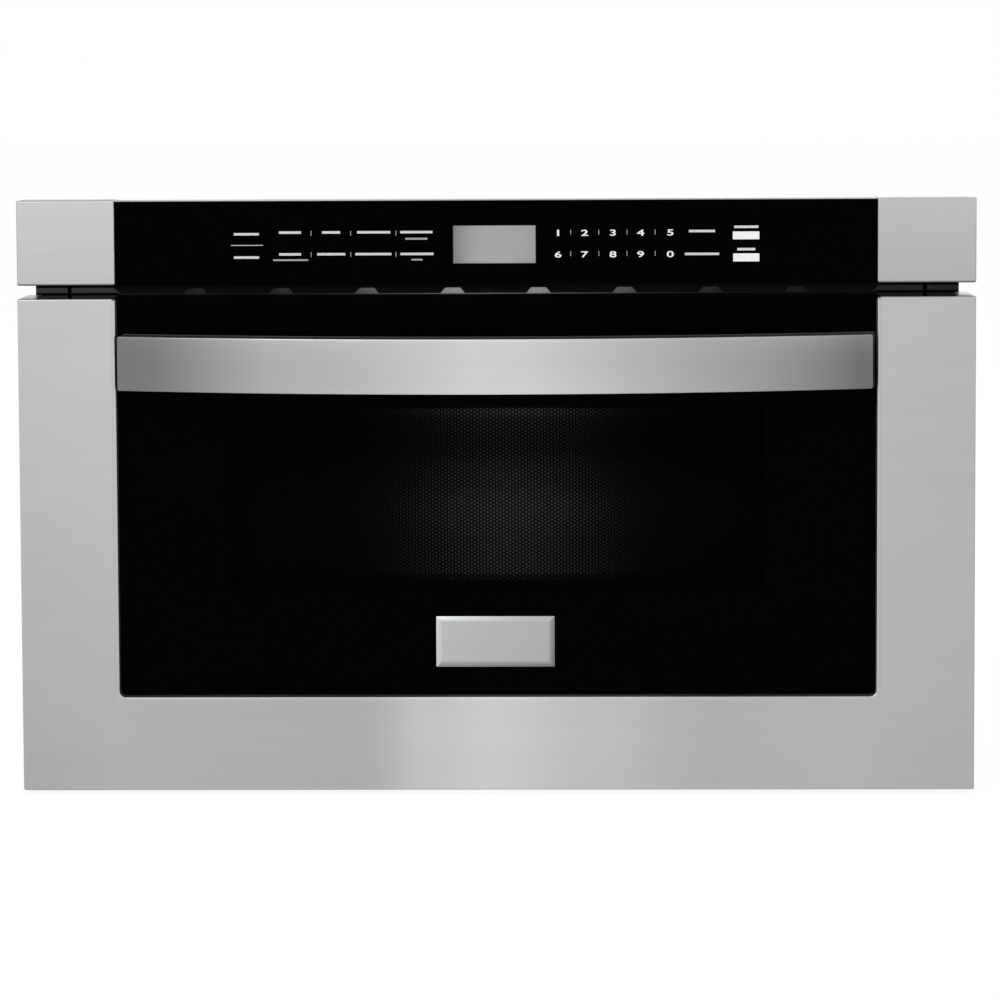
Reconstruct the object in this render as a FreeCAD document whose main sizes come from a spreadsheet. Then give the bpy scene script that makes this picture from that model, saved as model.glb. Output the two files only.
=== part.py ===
import FreeCAD, Part
import math
import os
import re

import Sketcher

# A built-in microwave drawer, in millimetres: +Z up, the drawer opens along -Y, and the
# origin is under the middle of the whole unit, on the shelf that its base pan stands on.

doc = FreeCAD.newDocument("microwave_drawer")

sizes = {
    # the whole front
    "front_width": 606.4,          # over the stainless front, 23 7/8 in
    "overall_depth": 624.0,        # from the handle's face to the cord gland
    "front_lift": 3.0,             # drawer front above the shelf
    "drawer_front_height": 314.8,
    "panel_gap": 8.3,              # open gap between drawer front and control panel
    "panel_height": 53.9,
    "front_thickness": 24.5,
    "front_sheet": 1.5,
    "stile_width": 62.3,
    "rail_height": 60.0,
    # handle
    "handle_inset": 2.2,           # handle's ends inside the frame's opening
    "handle_height": 34.4,
    "handle_drop": 23.9,           # drawer front's top edge down to the handle
    "handle_thickness": 11.0,
    "handle_skin": 1.2,
    "handle_bow": 36.0,
    "handle_proud": 4.0,           # handle's ends in front of the stainless face
    "handle_post_inset": 16.0,
    "handle_post_radius": 7.0,
    # drawer glass, window and badge
    "glass_recess": 8.0,
    "glass_thickness": 4.0,
    "glass_play": 0.5,
    "gasket_width": 16.0,
    "window_width": 338.0,
    "window_height": 110.8,
    "window_rise": 131.5,          # window above the drawer front's bottom
    "screen_lap": 4.0,
    "screen_thickness": 0.8,
    "badge_width": 75.5,
    "badge_height": 32.4,
    "badge_rise": 78.2,
    "badge_thickness": 2.0,
    "badge_bevel": 0.9,
    # drawer's back panel, choke ring and hooks
    "back_sheet": 1.5,
    "ring_thickness": 2.5,
    "ring_margin": 24.0,
    "ring_top_margin": 19.0,
    "ring_slide_gap": 2.0,         # ring's lower edge above the slides
    "ring_play": 1.0,
    "seal_gap": 3.0,               # back of the drawer front to the front flange
    "hook_inset": 36.0,            # hooks inside the cavity's walls
    "hook_width": 8.0,
    "hook_height": 6.0,
    "hook_length": 22.5,
    "hook_lift": 9.8,              # above the cavity's roof
    "hook_play": 2.0,
    # chassis
    "side_overlap": 25.4,          # front beyond the case at each side, 1 in
    "chassis_drop": 18.0,          # case's top below the panel's top
    "chassis_lift": 2.0,           # lower edges of cover, flange and rear panel
    "case_sheet": 1.0,
    "pan_sheet": 1.2,
    "pan_rim": 22.0,
    "flange_inset": 8.0,           # flange inside the front at each side
    "flange_drop": 4.0,            # flange's top below the panel's top
    "flange_sheet": 1.5,
    "flange_hole_inset": 9.7,
    "flange_hole_low": 60.0,
    "flange_hole_rise": 240.0,
    "flange_hole_radius": 2.6,
    "slit_inset": 21.6,
    "slit_width": 2.5,
    "slit_drop": 17.8,             # slit's foot below the drawer front's top
    "slit_height": 40.0,
    "exhaust_slots": 9,
    "exhaust_pitch": 32.0,
    "exhaust_slot_width": 22.0,
    "exhaust_slot_height": 12.0,
    "exhaust_rise": 11.8,          # slots above the cavity's roof
    # oven cavity and the basket that runs in it
    "cavity_side_room": 51.8,      # case's side to the cavity
    "cavity_drop": 31.8,           # cavity's top below the drawer front's top
    "machine_room": 122.0,         # cavity to the rear panel
    "cavity_floor": 102.0,
    "cavity_sheet": 1.2,
    "basket_side_play": 6.0,
    "basket_top_play": 12.0,
    "basket_rear_play": 14.5,
    "basket_floor_play": 4.0,
    "basket_sheet": 1.0,
    "basket_ledge": 20.0,
    "tray_thickness": 5.0,
    "tray_play": 0.5,
    # stirrer below the cavity, and the waveguide that feeds it
    "well_radius": 104.0,
    "well_height": 30.0,
    "well_sheet": 1.2,
    "well_lip": 4.0,               # cavity floor's edge inside the well
    "cover_lap": 3.0,              # stirrer cover past the well
    "cover_thickness": 2.5,
    "vane_length": 78.0,
    "vane_width": 26.0,
    "vane_sheet": 1.2,
    "vane_count": 3,
    "spindle_radius": 3.0,
    "spindle_length": 32.0,
    "hub_radius": 9.0,
    "hub_height": 10.0,
    "hub_lift": 8.0,               # hub above the well's floor
    "shaft_hole_play": 2.0,
    "stirrer_motor_radius": 24.5,
    "stirrer_motor_height": 20.0,
    "running_fit": 0.05,
    "end_play": 0.3,
    "guide_width": 92.0,
    "guide_sheet": 1.5,
    "guide_end_gap": 8.0,          # waveguide's end to the rear panel
    # magnetron
    "magnetron_width": 84.0,
    "magnetron_depth": 78.0,
    "magnetron_height": 66.0,
    "magnetron_sheet": 2.0,
    "magnetron_inset": 52.0,       # its axis in front of the rear panel
    "fin_count": 7,
    "fin_pitch": 6.0,
    "fin_thickness": 0.8,
    "fin_inset": 4.0,
    "anode_radius": 19.0,
    "antenna_radius": 8.0,
    "antenna_length": 24.0,
    "antenna_play": 3.0,
    # high-voltage transformer and capacitor
    "core_width": 100.0,
    "core_depth": 58.0,
    "core_height": 84.0,
    "core_leg": 17.0,
    "coil_width": 16.0,
    "coil_play": 0.3,
    "transformer_inset": 91.8,     # its middle to the case's left side
    "capacitor_length": 96.0,
    "capacitor_radius": 17.5,
    "capacitor_span": 20.0,
    "capacitor_inset": 86.8,       # its middle to the case's right side
    "terminal_length": 9.0,
    "terminal_width": 6.0,
    "terminal_sheet": 1.0,
    # cooling fan
    "fan_offset": 116.0,
    "fan_height": 170.0,
    "shroud_depth": 32.0,
    "shroud_size": 100.0,
    "fan_radius": 44.0,
    "fan_tip_gap": 2.5,
    "fan_hub_radius": 14.0,
    "fan_hub_length": 20.0,
    "fan_blades": 7,
    "fan_blade_sheet": 1.5,
    "fan_blade_angle": 38.0,
    "fan_blade_span": 18.0,        # along the hub
    "fan_blade_root": 3.0,         # depth of a blade's foot in the hub
    "fan_shaft_radius": 2.5,
    "fan_motor_radius": 22.0,
    "fan_motor_length": 28.0,
    "strut_width": 14.0,
    "strut_sheet": 2.0,
    "strut_hole_play": 1.0,
    # drawer slides and the carriage between them
    "travel": 381.0,               # 15 in
    "slide_overlap": 31.0,         # slide's length beyond the travel
    "slide_height": 45.0,
    "slide_thickness": 12.7,
    "slide_sheet": 1.2,
    "slide_play": 0.5,
    "slide_low": 48.0,
    "slide_lip_gap": 2.0,          # slide's lips to the carriage's arm
    "arm_side_room": 18.0,         # cavity to the outside of the carriage's arm
    "arm_sheet": 4.0,
    "arm_height": 41.0,
    "yoke_sheet": 1.5,
    "slot_play": 3.0,
    "bracket_sheet": 1.5,
    "bracket_foot": 15.0,
    # rack drive
    "gear_module": 2.0,
    "pinion_teeth": 14,
    "pressure_angle": 20.0,
    "tooth_addendum": 0.8,         # in modules
    "tooth_dedendum": 1.0,         # in modules
    "gear_width": 10.0,
    "gear_backlash": 0.25,
    "rack_back": 6.0,
    "rack_lead": 15.5,             # rack past the pinion at both ends of the travel
    "pinion_set_back": 21.0,       # pinion's axis behind the flange
    "pinion_shaft_radius": 4.0,
    "pinion_shaft_length": 16.0,
    "gearbox_width": 50.0,
    "gearbox_depth": 68.0,
    "gearbox_height": 32.0,
    "gearbox_overhang": 18.0,      # gearbox past the pinion's axis, towards the side
    "gearbox_gap": 3.0,            # gearbox to the flange and to the gears
    "drive_can_radius": 15.0,
    "drive_can_length": 46.0,
    # control panel
    "fascia_return": 10.0,
    "lip_sheet": 1.0,
    "panel_glass_thickness": 4.0,
    "panel_glass_play": 0.2,
    "housing_drop": 4.0,           # housing's top below the fascia's top
    "housing_wall": 2.0,
    "housing_play": 0.2,
    "fold_play": 0.3,              # from a folded edge to what sits inside it
    "display_width": 68.0,
    "display_height": 33.0,
    "display_depth": 12.0,
    "display_centre": 25.0,        # display's centre above the panel's lower edge
    "board_width": 360.0,
    "board_height": 40.0,
    "board_thickness": 1.6,
    "boss_radius": 4.0,
    "boss_side_inset": 8.0,
    "boss_edge_inset": 6.0,
    "skirt_drop": 5.7,             # skirt's teeth below the panel glass
    "skirt_sheet": 2.0,
    "skirt_flange_depth": 18.0,
    "notch_count": 8,
    "notch_pitch": 54.4,
    "notch_top": 9.5,
    "notch_bottom": 15.5,
    "notch_height": 3.5,
    "skirt_slant": 6.9,
    "skirt_ear": 3.2,              # skirt's ends under the end blocks
    "skirt_neck_inset": 1.0,
    # interlock switches
    "switch_width": 14.0,
    "switch_length": 28.0,
    "switch_height": 24.0,
    "plunger_radius": 2.0,
    "plunger_length": 14.0,
    "plunger_travel": 2.5,
    "plunger_gap": 0.4,            # hook's tip to the plunger at rest
    "plunger_stop_gap": 1.5,       # what is left of the plunger outside when pressed
    # small things on the cavity and the rear panel
    "duct_inset": 81.0,            # duct's sides inside the cavity's walls
    "duct_height": 44.0,
    "duct_wall": 1.5,
    "lamp_radius": 14.0,
    "lamp_length": 38.0,
    "lamp_step": 4.0,
    "lamp_offset": 150.0,
    "cutout_radius": 8.0,
    "cutout_height": 7.0,
    "cutout_gap": 20.0,            # duct to the cutout's axis
    "tab_spread": 10.0,
    "tab_sheet": 0.8,
    "tab_width": 6.0,
    "tab_height": 8.0,
    "relay_board_width": 96.0,
    "relay_board_length": 210.0,
    "relay_board_gap": 8.0,        # to the duct
    "relay_board_lift": 8.0,       # above the cavity's roof
    "relay_rib_length": 40.0,
    "relay_rib_width": 6.0,
    "relay_inset": 12.0,
    "relay_first": 20.0,           # board's front edge to the first relay
    "relay_gap": 12.0,
    "relay_size": 20.0,
    "relay_length": 28.0,
    "relay_count": 4,
    "gland_bore": 4.6,
    "gland_radius": 12.0,
    "gland_neck": 8.8,
    "gland_out": 8.0,
    "gland_taper": 2.0,
    "gland_offset": 225.0,
    "gland_height": 140.0,
    "louvre_rows": 6,
    "louvre_pitch": 12.0,
    "louvre_offset": 146.0,
    "louvre_width": 84.0,
    "louvre_height": 4.0,
    "side_slots": 8,
    "cover_slot_length": 70.0,
    "pan_slot_length": 50.0,
    "screw_head_radius": 4.0,
    "screw_head_height": 2.2,
    "screw_radius": 1.9,
    "screw_length": 7.0,
    "screw_inset": 8.0,
    "hole_play": 0.2,
}

# Places that follow from the sizes: half widths, planes seen from the side (y) and levels (z).
places = {
    "half_front": "front_width / 2",
    "handle_y": "-overall_depth / 2",
    "face_y": "handle_y + handle_bow + handle_proud",
    "drawer_back_y": "face_y + front_thickness",
    "flange_y": "drawer_back_y + seal_gap",
    "case_y": "flange_y + flange_sheet",
    "rear_y": "overall_depth / 2 - gland_out",
    "case_rear_y": "rear_y - case_sheet",
    "drawer_top": "front_lift + drawer_front_height",
    "panel_low": "drawer_top + panel_gap",
    "panel_top": "panel_low + panel_height",
    "half_opening": "half_front - stile_width",
    "opening_low": "front_lift + rail_height",
    "half_handle": "half_opening - handle_inset",
    "bow_radius": "(half_handle * half_handle + handle_bow * handle_bow) / (2 * handle_bow)",
    "bow_y": "handle_y + bow_radius",
    "handle_top": "drawer_top - handle_drop",
    "handle_low": "handle_top - handle_height",
    "glass_y": "face_y + glass_recess",
    "glass_back_y": "glass_y + glass_thickness",
    "panel_plate_y": "drawer_back_y - back_sheet",
    "window_low": "front_lift + window_rise",
    "window_top": "window_low + window_height",
    "chassis_height": "panel_top - chassis_drop",
    "half_chassis": "half_front - side_overlap",
    "half_case": "half_chassis - case_sheet",
    "transformer_x": "transformer_inset - half_case",
    "capacitor_x": "half_case - capacitor_inset",
    "half_flange": "half_front - flange_inset",
    "slit_x": "half_flange - slit_inset",
    "half_cavity": "half_chassis - cavity_side_room",
    "cavity_top": "drawer_top - cavity_drop",
    "cavity_rear_y": "rear_y - machine_room",
    "half_basket": "half_cavity - basket_side_play",
    "basket_floor": "cavity_floor + basket_floor_play",
    "basket_top": "cavity_top - basket_top_play",
    "basket_rear_y": "cavity_rear_y - basket_rear_play",
    "half_duct": "half_cavity - duct_inset",
    "shell_top": "cavity_top + cavity_sheet",
    "shell_out": "half_cavity + cavity_sheet",
    "shell_rear_y": "cavity_rear_y + cavity_sheet",
    "stirrer_y": "(case_y + cavity_rear_y) / 2",
    "well_top": "cavity_floor - cavity_sheet",
    "well_low": "well_top - well_height",
    "hub_low": "well_low + hub_lift",
    "guide_end_y": "rear_y - guide_end_gap",
    "magnetron_y": "rear_y - magnetron_inset",
    "arm_out": "half_cavity + arm_side_room",
    "arm_in": "arm_out - arm_sheet",
    "arm_low": "slide_low + (slide_height - arm_height) / 2",
    "slide_out": "arm_out + slide_thickness",
    "slide_top": "slide_low + slide_height",
    "slide_end_y": "case_y + travel + slide_overlap",
    "pitch_radius": "gear_module * pinion_teeth / 2",
    "pitch_x": "arm_in - rack_back - tooth_dedendum * gear_module",
    "rack_tip_x": "pitch_x - tooth_addendum * gear_module",
    "pinion_x": "pitch_x - pitch_radius",
    "pinion_y": "case_y + pinion_set_back",
    "arm_end_y": "pinion_y + travel + rack_lead",
    "gear_low": "slide_low + (slide_height - gear_width) / 2",
    "gearbox_top": "gear_low - gearbox_gap",
    "gearbox_low": "gearbox_top - gearbox_height",
    "gearbox_out": "pinion_x + gearbox_overhang",
    "gearbox_y": "case_y + gearbox_gap",
    "glass_back_panel_y": "face_y + panel_glass_thickness",
    "housing_top": "panel_top - housing_drop",
    "housing_low": "panel_low + front_sheet + housing_play",
    "housing_out": "half_front - front_sheet - fold_play",
    "panel_glass_top": "panel_top - lip_sheet",
    "display_z": "panel_low + display_centre",
    "display_back_y": "glass_back_panel_y + display_depth",
    "skirt_low": "panel_low - skirt_drop",
    "hook_x": "half_cavity - hook_inset",
    "hook_low": "shell_top + hook_lift",
    "hook_tip_y": "drawer_back_y + hook_length",
    "plunger_y": "hook_tip_y + plunger_gap",
    "switch_y": "plunger_y + plunger_travel + plunger_stop_gap",
    "fan_y": "case_rear_y - shroud_size / 2",
}


def bound(text):
    """Writes an expression on the sheets: each name in it gets its sheet in front."""
    def with_sheet(match):
        word = match.group()
        if word in sizes:
            return "Dims." + word
        if word in places:
            return "Places." + word
        return word
    return re.sub(r"[A-Za-z_][A-Za-z_0-9]*", with_sheet, str(text))


def fill_sheet(name, entries):
    sheet = doc.addObject("Spreadsheet::Sheet", name)
    for row, (alias, content) in enumerate(entries.items(), 1):
        sheet.set(f"A{row}", alias)
        sheet.set(f"B{row}", content)
        sheet.setAlias(f"B{row}", alias)
    return sheet


dims = fill_sheet("Dims", {alias: str(number) for alias, number in sizes.items()})
derived = fill_sheet("Places", {alias: "=" + bound(formula) for alias, formula in places.items()})
doc.recompute()


def size(name):
    sheet = dims if name in sizes else derived
    return float(sheet.get(name))


# ---- building blocks: every number handed to them is an expression on the sheets ----

def place(thing, x="0", y="0", z="0", turn=None):
    """Puts a thing at a point; turn is an axis and an angle in degrees."""
    if turn:
        thing.Placement = FreeCAD.Placement(FreeCAD.Vector(), FreeCAD.Rotation(*turn))
    for axis, where in (("x", x), ("y", y), ("z", z)):
        thing.setExpression("Placement.Base." + axis, bound(where))
    return thing


def box(name, x, y, z):
    """A block between a low and a high bound along each axis."""
    block = doc.addObject("Part::Box", name)
    for side, (low, high) in (("Length", x), ("Width", y), ("Height", z)):
        block.setExpression(side, bound(f"({high}) - ({low})"))
    return place(block, x[0], y[0], z[0])


def even(half):
    """The bounds of something centred on x = 0."""
    return (f"-({half})", half)


def past(low, high, over=1):
    """The bounds of a cutter that runs a little past both faces of what it cuts."""
    return (f"({low}) - {over}", f"({high}) + {over}")


alongX = (FreeCAD.Vector(0, 1, 0), 90)
alongY = (FreeCAD.Vector(1, 0, 0), -90)


def rod(name, axis, start, length, radius):
    """A cylinder from a start point along X, Y or Z."""
    turn = {"x": alongX, "y": alongY, "z": None}[axis]
    cylinder = doc.addObject("Part::Cylinder", name)
    cylinder.setExpression("Radius", bound(radius))
    cylinder.setExpression("Height", bound(length))
    return place(cylinder, *start, turn=turn)


def group(name, pieces):
    together = doc.addObject("Part::Compound", name)
    together.Links = pieces
    return together


def fuse(name, pieces):
    joined = doc.addObject("Part::MultiFuse", name)
    joined.Shapes = pieces
    return joined


def cut(name, base, tools):
    carved = doc.addObject("Part::Cut", name)
    carved.Base = base
    carved.Tool = tools[0] if len(tools) == 1 else group(name + "_tools", tools)
    return carved


def common(name, first, second):
    shared = doc.addObject("Part::Common", name)
    shared.Base = first
    shared.Tool = second
    return shared


def mirrored(name, source):
    """The same piece on the other side of the middle plane."""
    twin = doc.addObject("Part::Mirroring", name)
    twin.Source = source
    twin.Base = FreeCAD.Vector(0, 0, 0)
    twin.Normal = FreeCAD.Vector(1, 0, 0)
    return twin


def new_body(name):
    return doc.addObject("PartDesign::Body", name)


def origin_part(body, role):
    return [item for item in body.Origin.OriginFeatures if item.Role == role][0]


def new_sketch(body, name, plane, offset="0"):
    """A sketch on one of the body's own planes, moved along the plane's normal."""
    sketch = body.newObject("Sketcher::SketchObject", name)
    sketch.AttachmentSupport = [(origin_part(body, plane), "")]
    sketch.MapMode = "FlatFace"
    sketch.setExpression("AttachmentOffset.Base.z", bound(offset))
    return sketch


def number_from(text):
    return float(dims.evalExpression(bound(text)))


def lock_points(sketch, spots):
    """Ties edge ends to places; a spot is (edge, end, across, up), the places as expressions."""
    for edge, end, *where in spots:
        for kind, text in zip(("DistanceX", "DistanceY"), where):
            rule = sketch.addConstraint(
                Sketcher.Constraint(kind, -1, 1, edge, end, number_from(text)))
            sketch.setExpression(f"Constraints[{rule}]", bound(text))


def outline(sketch, corners):
    """A closed line through corners, each a pair of expressions."""
    spots = [FreeCAD.Vector(number_from(across), number_from(up), 0) for across, up in corners]
    count = len(corners)
    first = sketch.GeometryCount
    sketch.addGeometry([Part.LineSegment(spots[i], spots[(i + 1) % count]) for i in range(count)],
                       False)
    sketch.addConstraint([Sketcher.Constraint("Coincident", first + i, 2, first + (i + 1) % count, 1)
                          for i in range(count)])
    lock_points(sketch, [(first + i, 1, *corner) for i, corner in enumerate(corners)])


def rectangle(sketch, across, up):
    outline(sketch, [(across[0], up[0]), (across[1], up[0]), (across[1], up[1]), (across[0], up[1])])


def circle(sketch, centre, radius):
    middle = FreeCAD.Vector(number_from(centre[0]), number_from(centre[1]), 0)
    edge = sketch.addGeometry(
        Part.Circle(middle, FreeCAD.Vector(0, 0, 1), number_from(radius)), False)
    lock_points(sketch, [(edge, 3, *centre)])
    rule = sketch.addConstraint(Sketcher.Constraint("Radius", edge, number_from(radius)))
    sketch.setExpression(f"Constraints[{rule}]", bound(radius))


def pad(body, name, sketch, length):
    solid = body.newObject("PartDesign::Pad", name)
    solid.Profile = sketch
    solid.setExpression("Length", bound(length))
    sketch.Visibility = False
    return solid


def turned(name, corners, centre, turn=None):
    """A turned piece: corners are (radius, level) about the body's own Z axis."""
    body = new_body(name)
    sketch = new_sketch(body, name + "_profile", "XZ_Plane")
    outline(sketch, corners)
    solid = body.newObject("PartDesign::Revolution", name + "_revolution")
    solid.Profile = sketch
    solid.ReferenceAxis = (origin_part(body, "Z_Axis"), [""])
    solid.Angle = 360
    return place(body, *centre, turn=turn)


def round_pattern(body, feature, count):
    """Repeats a feature evenly about the body's own Z axis."""
    doc.recompute()
    pattern = body.newObject("PartDesign::PolarPattern", feature.Name + "_pattern")
    pattern.Originals = [feature]
    pattern.Axis = (origin_part(body, "Z_Axis"), [""])
    pattern.Angle = 360
    pattern.setExpression("Occurrences", bound(count))
    body.Tip = pattern
    return body


def upright_plate(name, front, back, edge, holes=(), rounds=()):
    """A plate square to Y from its front to its back plane, with square and round holes."""
    body = new_body(name)
    sketch = new_sketch(body, name + "_outline", "XZ_Plane", f"-({back})")
    rectangle(sketch, *edge)
    for hole in holes:
        rectangle(sketch, *hole)
    for centre, radius in rounds:
        circle(sketch, centre, radius)
    pad(body, name + "_pad", sketch, f"({back}) - ({front})")
    return body


def flat_plate(name, low, top, edge, holes=(), rounds=()):
    """A plate square to Z, the same way."""
    body = new_body(name)
    sketch = new_sketch(body, name + "_outline", "XY_Plane", low)
    rectangle(sketch, *edge)
    for hole in holes:
        rectangle(sketch, *hole)
    for centre, radius in rounds:
        circle(sketch, centre, radius)
    pad(body, name + "_pad", sketch, f"({top}) - ({low})")
    return body


def folded_box(name, x, y, z, sheet, open_sides):
    """A sheet-metal box: a block less its inside, which runs out through the open sides."""
    inside = {"x": [f"{x[0]} + {sheet}", f"{x[1]} - {sheet}"],
              "y": [f"{y[0]} + {sheet}", f"{y[1]} - {sheet}"],
              "z": [f"{z[0]} + {sheet}", f"{z[1]} - {sheet}"]}
    for side in open_sides:
        end = 0 if side[0] == "-" else 1
        inside[side[1]][end] += f" {side[0]} 2 * {sheet}"
    return cut(name, box(name + "_block", x, y, z),
               [box(name + "_inside", inside["x"], inside["y"], inside["z"])])


# ---- drawer front ----

def drawer_frame():
    """Stainless U of folded sheet: two stiles and the bottom rail, open above the glass."""
    through = past("face_y", "drawer_back_y")
    behind = ("face_y + front_sheet", through[1])
    above = past("opening_low", "drawer_top")[1]
    stile_inside = ("half_opening + front_sheet", "half_front - front_sheet")
    left_inside = ("front_sheet - half_front", "-(half_opening + front_sheet)")
    tall = ("front_lift + front_sheet", "drawer_top - front_sheet")
    block = box("frame_block", even("half_front"), ("face_y", "drawer_back_y"),
                ("front_lift", "drawer_top"))
    return cut("drawer_frame", block, [
        box("frame_opening", even("half_opening"), through, ("opening_low", above)),
        box("frame_right_inside", stile_inside, behind, tall),
        box("frame_left_inside", left_inside, behind, tall),
        box("frame_rail_inside", even("half_front - front_sheet"), behind,
            ("front_lift + front_sheet", "opening_low - front_sheet")),
        box("frame_back_seat", even("half_front - front_sheet"),
            ("panel_plate_y", behind[1]), tall)])


def door_glass():
    return upright_plate("door_glass", "glass_y", "glass_back_y",
                         (even("half_opening - glass_play"),
                          ("opening_low + glass_play", "drawer_top - glass_play")))


def glass_gasket():
    """Foam frame between the glass and the panel behind it."""
    half = "half_opening - 2 * glass_play"
    return upright_plate("glass_gasket", "glass_back_y", "panel_plate_y",
                         (even(half), ("opening_low + 2 * glass_play", "drawer_top - front_sheet")),
                         [(even(f"{half} - gasket_width"),
                           ("opening_low + gasket_width", "drawer_top - gasket_width"))])


def back_panel():
    """Steel panel that closes the drawer front and carries the basket and the carriage."""
    return upright_plate("back_panel", "panel_plate_y", "drawer_back_y",
                         (even("half_front - front_sheet - fold_play"),
                          ("front_lift + front_sheet + fold_play",
                           "drawer_top - front_sheet - fold_play")),
                         [(even("window_width / 2"), ("window_low", "window_top"))])


def window_screen():
    """Perforated choke screen behind the window."""
    return upright_plate("window_screen", "panel_plate_y - screen_thickness", "panel_plate_y",
                         (even("window_width / 2 + screen_lap"),
                          ("window_low - screen_lap", "window_top + screen_lap")))


def choke_ring():
    """Ring around the basket's mouth that meets the front flange."""
    half = "half_basket + ring_play"
    return upright_plate("choke_ring", "drawer_back_y", "drawer_back_y + ring_thickness",
                         (even(f"{half} + ring_margin"),
                          ("slide_top + ring_slide_gap", "basket_top + ring_play + ring_top_margin")),
                         [(even(half), ("basket_floor - ring_play", "basket_top + ring_play"))])


def badge_plate():
    """Bare bevelled plate on the glass."""
    body = new_body("badge_plate")
    sketch = new_sketch(body, "badge_outline", "XZ_Plane", "-glass_y")
    low = "front_lift + badge_rise"
    rectangle(sketch, even("badge_width / 2"), (low, f"{low} + badge_height"))
    solid = pad(body, "badge_pad", sketch, "badge_thickness")
    doc.recompute()
    front = min(range(len(solid.Shape.Faces)), key=lambda i: solid.Shape.Faces[i].CenterOfMass.y)
    bevel = body.newObject("PartDesign::Chamfer", "badge_chamfer")
    bevel.Base = (solid, [f"Face{front + 1}"])
    bevel.setExpression("Size", bound("badge_bevel"))
    body.Tip = bevel
    return body


# ---- handle: a bar bowed forward on one arc, a stainless skin over a dark core ----

def bow_layer(name, outer, inner):
    """The stretch of a bowed ring between two depths under the handle's face."""
    axis = ("0", "bow_y", "handle_low")
    ring = cut(name + "_ring", rod(name + "_outer", "z", axis, "handle_height", f"bow_radius - {outer}"),
               [rod(name + "_inner", "z", axis, "handle_height", f"bow_radius - {inner}")])
    block = box(name + "_span", even("half_handle"), ("handle_y", "glass_y"),
                ("handle_low", "handle_top"))
    return common(name, block, ring)


def handle_strip():
    return bow_layer("handle_strip", "0", "handle_skin")


def handle_core():
    return bow_layer("handle_core", "handle_skin", "handle_thickness")


def handle_posts():
    """Two posts that carry the handle's ends in front of the glass."""
    middle = "(handle_low + handle_top) / 2"
    inside = rod("posts_bow", "z", ("0", "bow_y", "handle_low"), "handle_height",
                 "bow_radius - handle_thickness")
    posts = []
    for side, sign in (("right", ""), ("left", "-")):
        start = (f"{sign}(half_handle - handle_post_inset)", "face_y - handle_proud", middle)
        posts.append(rod("post_" + side, "y", start, "glass_y - face_y + handle_proud",
                         "handle_post_radius"))
    return common("handle_posts", group("posts_pair", posts), inside)


# ---- basket, tray, carriage, rack and hooks, which ride with the drawer front ----

def drawer_basket():
    """Open-topped food basket; its floor is a ledge round the tray."""
    y = ("drawer_back_y", "basket_rear_y")
    block = box("basket_block", even("half_basket"), y, ("basket_floor", "basket_top"))
    inside = box("basket_inside", even("half_basket - basket_sheet"),
                 (past(*y)[0], f"{y[1]} - basket_sheet"),
                 ("basket_floor + basket_sheet", past("basket_floor", "basket_top")[1]))
    floor_gap = box("basket_floor_gap", even("half_basket - basket_ledge"),
                    (f"{y[0]} + basket_ledge", f"{y[1]} - basket_ledge"),
                    past("basket_floor", "basket_floor + basket_sheet"))
    return cut("drawer_basket", block, [inside, floor_gap])


def ceramic_tray():
    low = "basket_floor + basket_sheet"
    return flat_plate("ceramic_tray", low, f"{low} + tray_thickness",
                      (even("half_basket - basket_sheet - tray_play"),
                       ("drawer_back_y + tray_play",
                        "basket_rear_y - basket_sheet - tray_play")))


def drawer_carriage():
    """Welded yoke: a cross plate on the back panel and two arms to the slides."""
    height = ("arm_low", "arm_low + arm_height")
    arm = ("drawer_back_y", "arm_end_y")
    arms = [box("arm_right", ("arm_in", "arm_out"), arm, height),
            box("arm_left", ("-arm_out", "-arm_in"), arm, height)]
    plate = box("yoke_plate", even("arm_out + slot_play"),
                ("drawer_back_y", "drawer_back_y + yoke_sheet"), ("slide_low", "slide_top"))
    return fuse("drawer_carriage", arms + [plate])


def latch_hooks():
    """Two square fingers that reach the interlock switches."""
    hooks = []
    for side, sign in (("right", 1), ("left", -1)):
        middle = f"{sign} * hook_x"
        hooks.append(box("hook_" + side, (f"{middle} - hook_width / 2", f"{middle} + hook_width / 2"),
                         ("drawer_back_y", "hook_tip_y"), ("hook_low", "hook_low + hook_height")))
    return group("latch_hooks", hooks)


# ---- telescopic slides ----

def channel(name, outer, inner, reach, play, y):
    """A C section, open towards the drawer: reach is where its lips end."""
    z = (f"slide_low + {play}", f"slide_top - ({play})")
    block = box(name + "_block", (reach, outer), y, z)
    hollow = box(name + "_hollow", (past(reach, inner)[0], inner), past(*y),
                 (f"{z[0]} + slide_sheet", f"{z[1]} - slide_sheet"))
    return cut(name, block, [hollow])


def slide_pair(name, outer, inner, reach, play):
    right = channel(name + "_right", outer, inner, reach, play, ("case_y", "slide_end_y"))
    return [right, mirrored(name + "_left", right)]


def slide_outer():
    return slide_pair("slide_outer", "slide_out", "slide_out - slide_sheet",
                      "arm_out + slide_lip_gap", "0")


def slide_mid():
    outer = "slide_out - slide_sheet - slide_play"
    return slide_pair("slide_mid", outer, f"{outer} - slide_sheet",
                      "arm_out + slide_lip_gap", "slide_sheet + slide_play")


def slide_inner():
    """The innermost channel faces the other way, its web against the carriage's arm."""
    play = "2 * (slide_sheet + slide_play)"
    y = ("case_y", "slide_end_y")
    z = (f"slide_low + {play}", f"slide_top - {play}")
    lips = f"slide_out - {play}"
    block = box("slide_inner_block", ("arm_out", lips), y, z)
    hollow = box("slide_inner_hollow", ("arm_out + slide_sheet", past("arm_out", lips)[1]), past(*y),
                 (f"{z[0]} + slide_sheet", f"{z[1]} - slide_sheet"))
    right = cut("slide_inner_right", block, [hollow])
    return [right, mirrored("slide_inner_left", right)]


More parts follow.
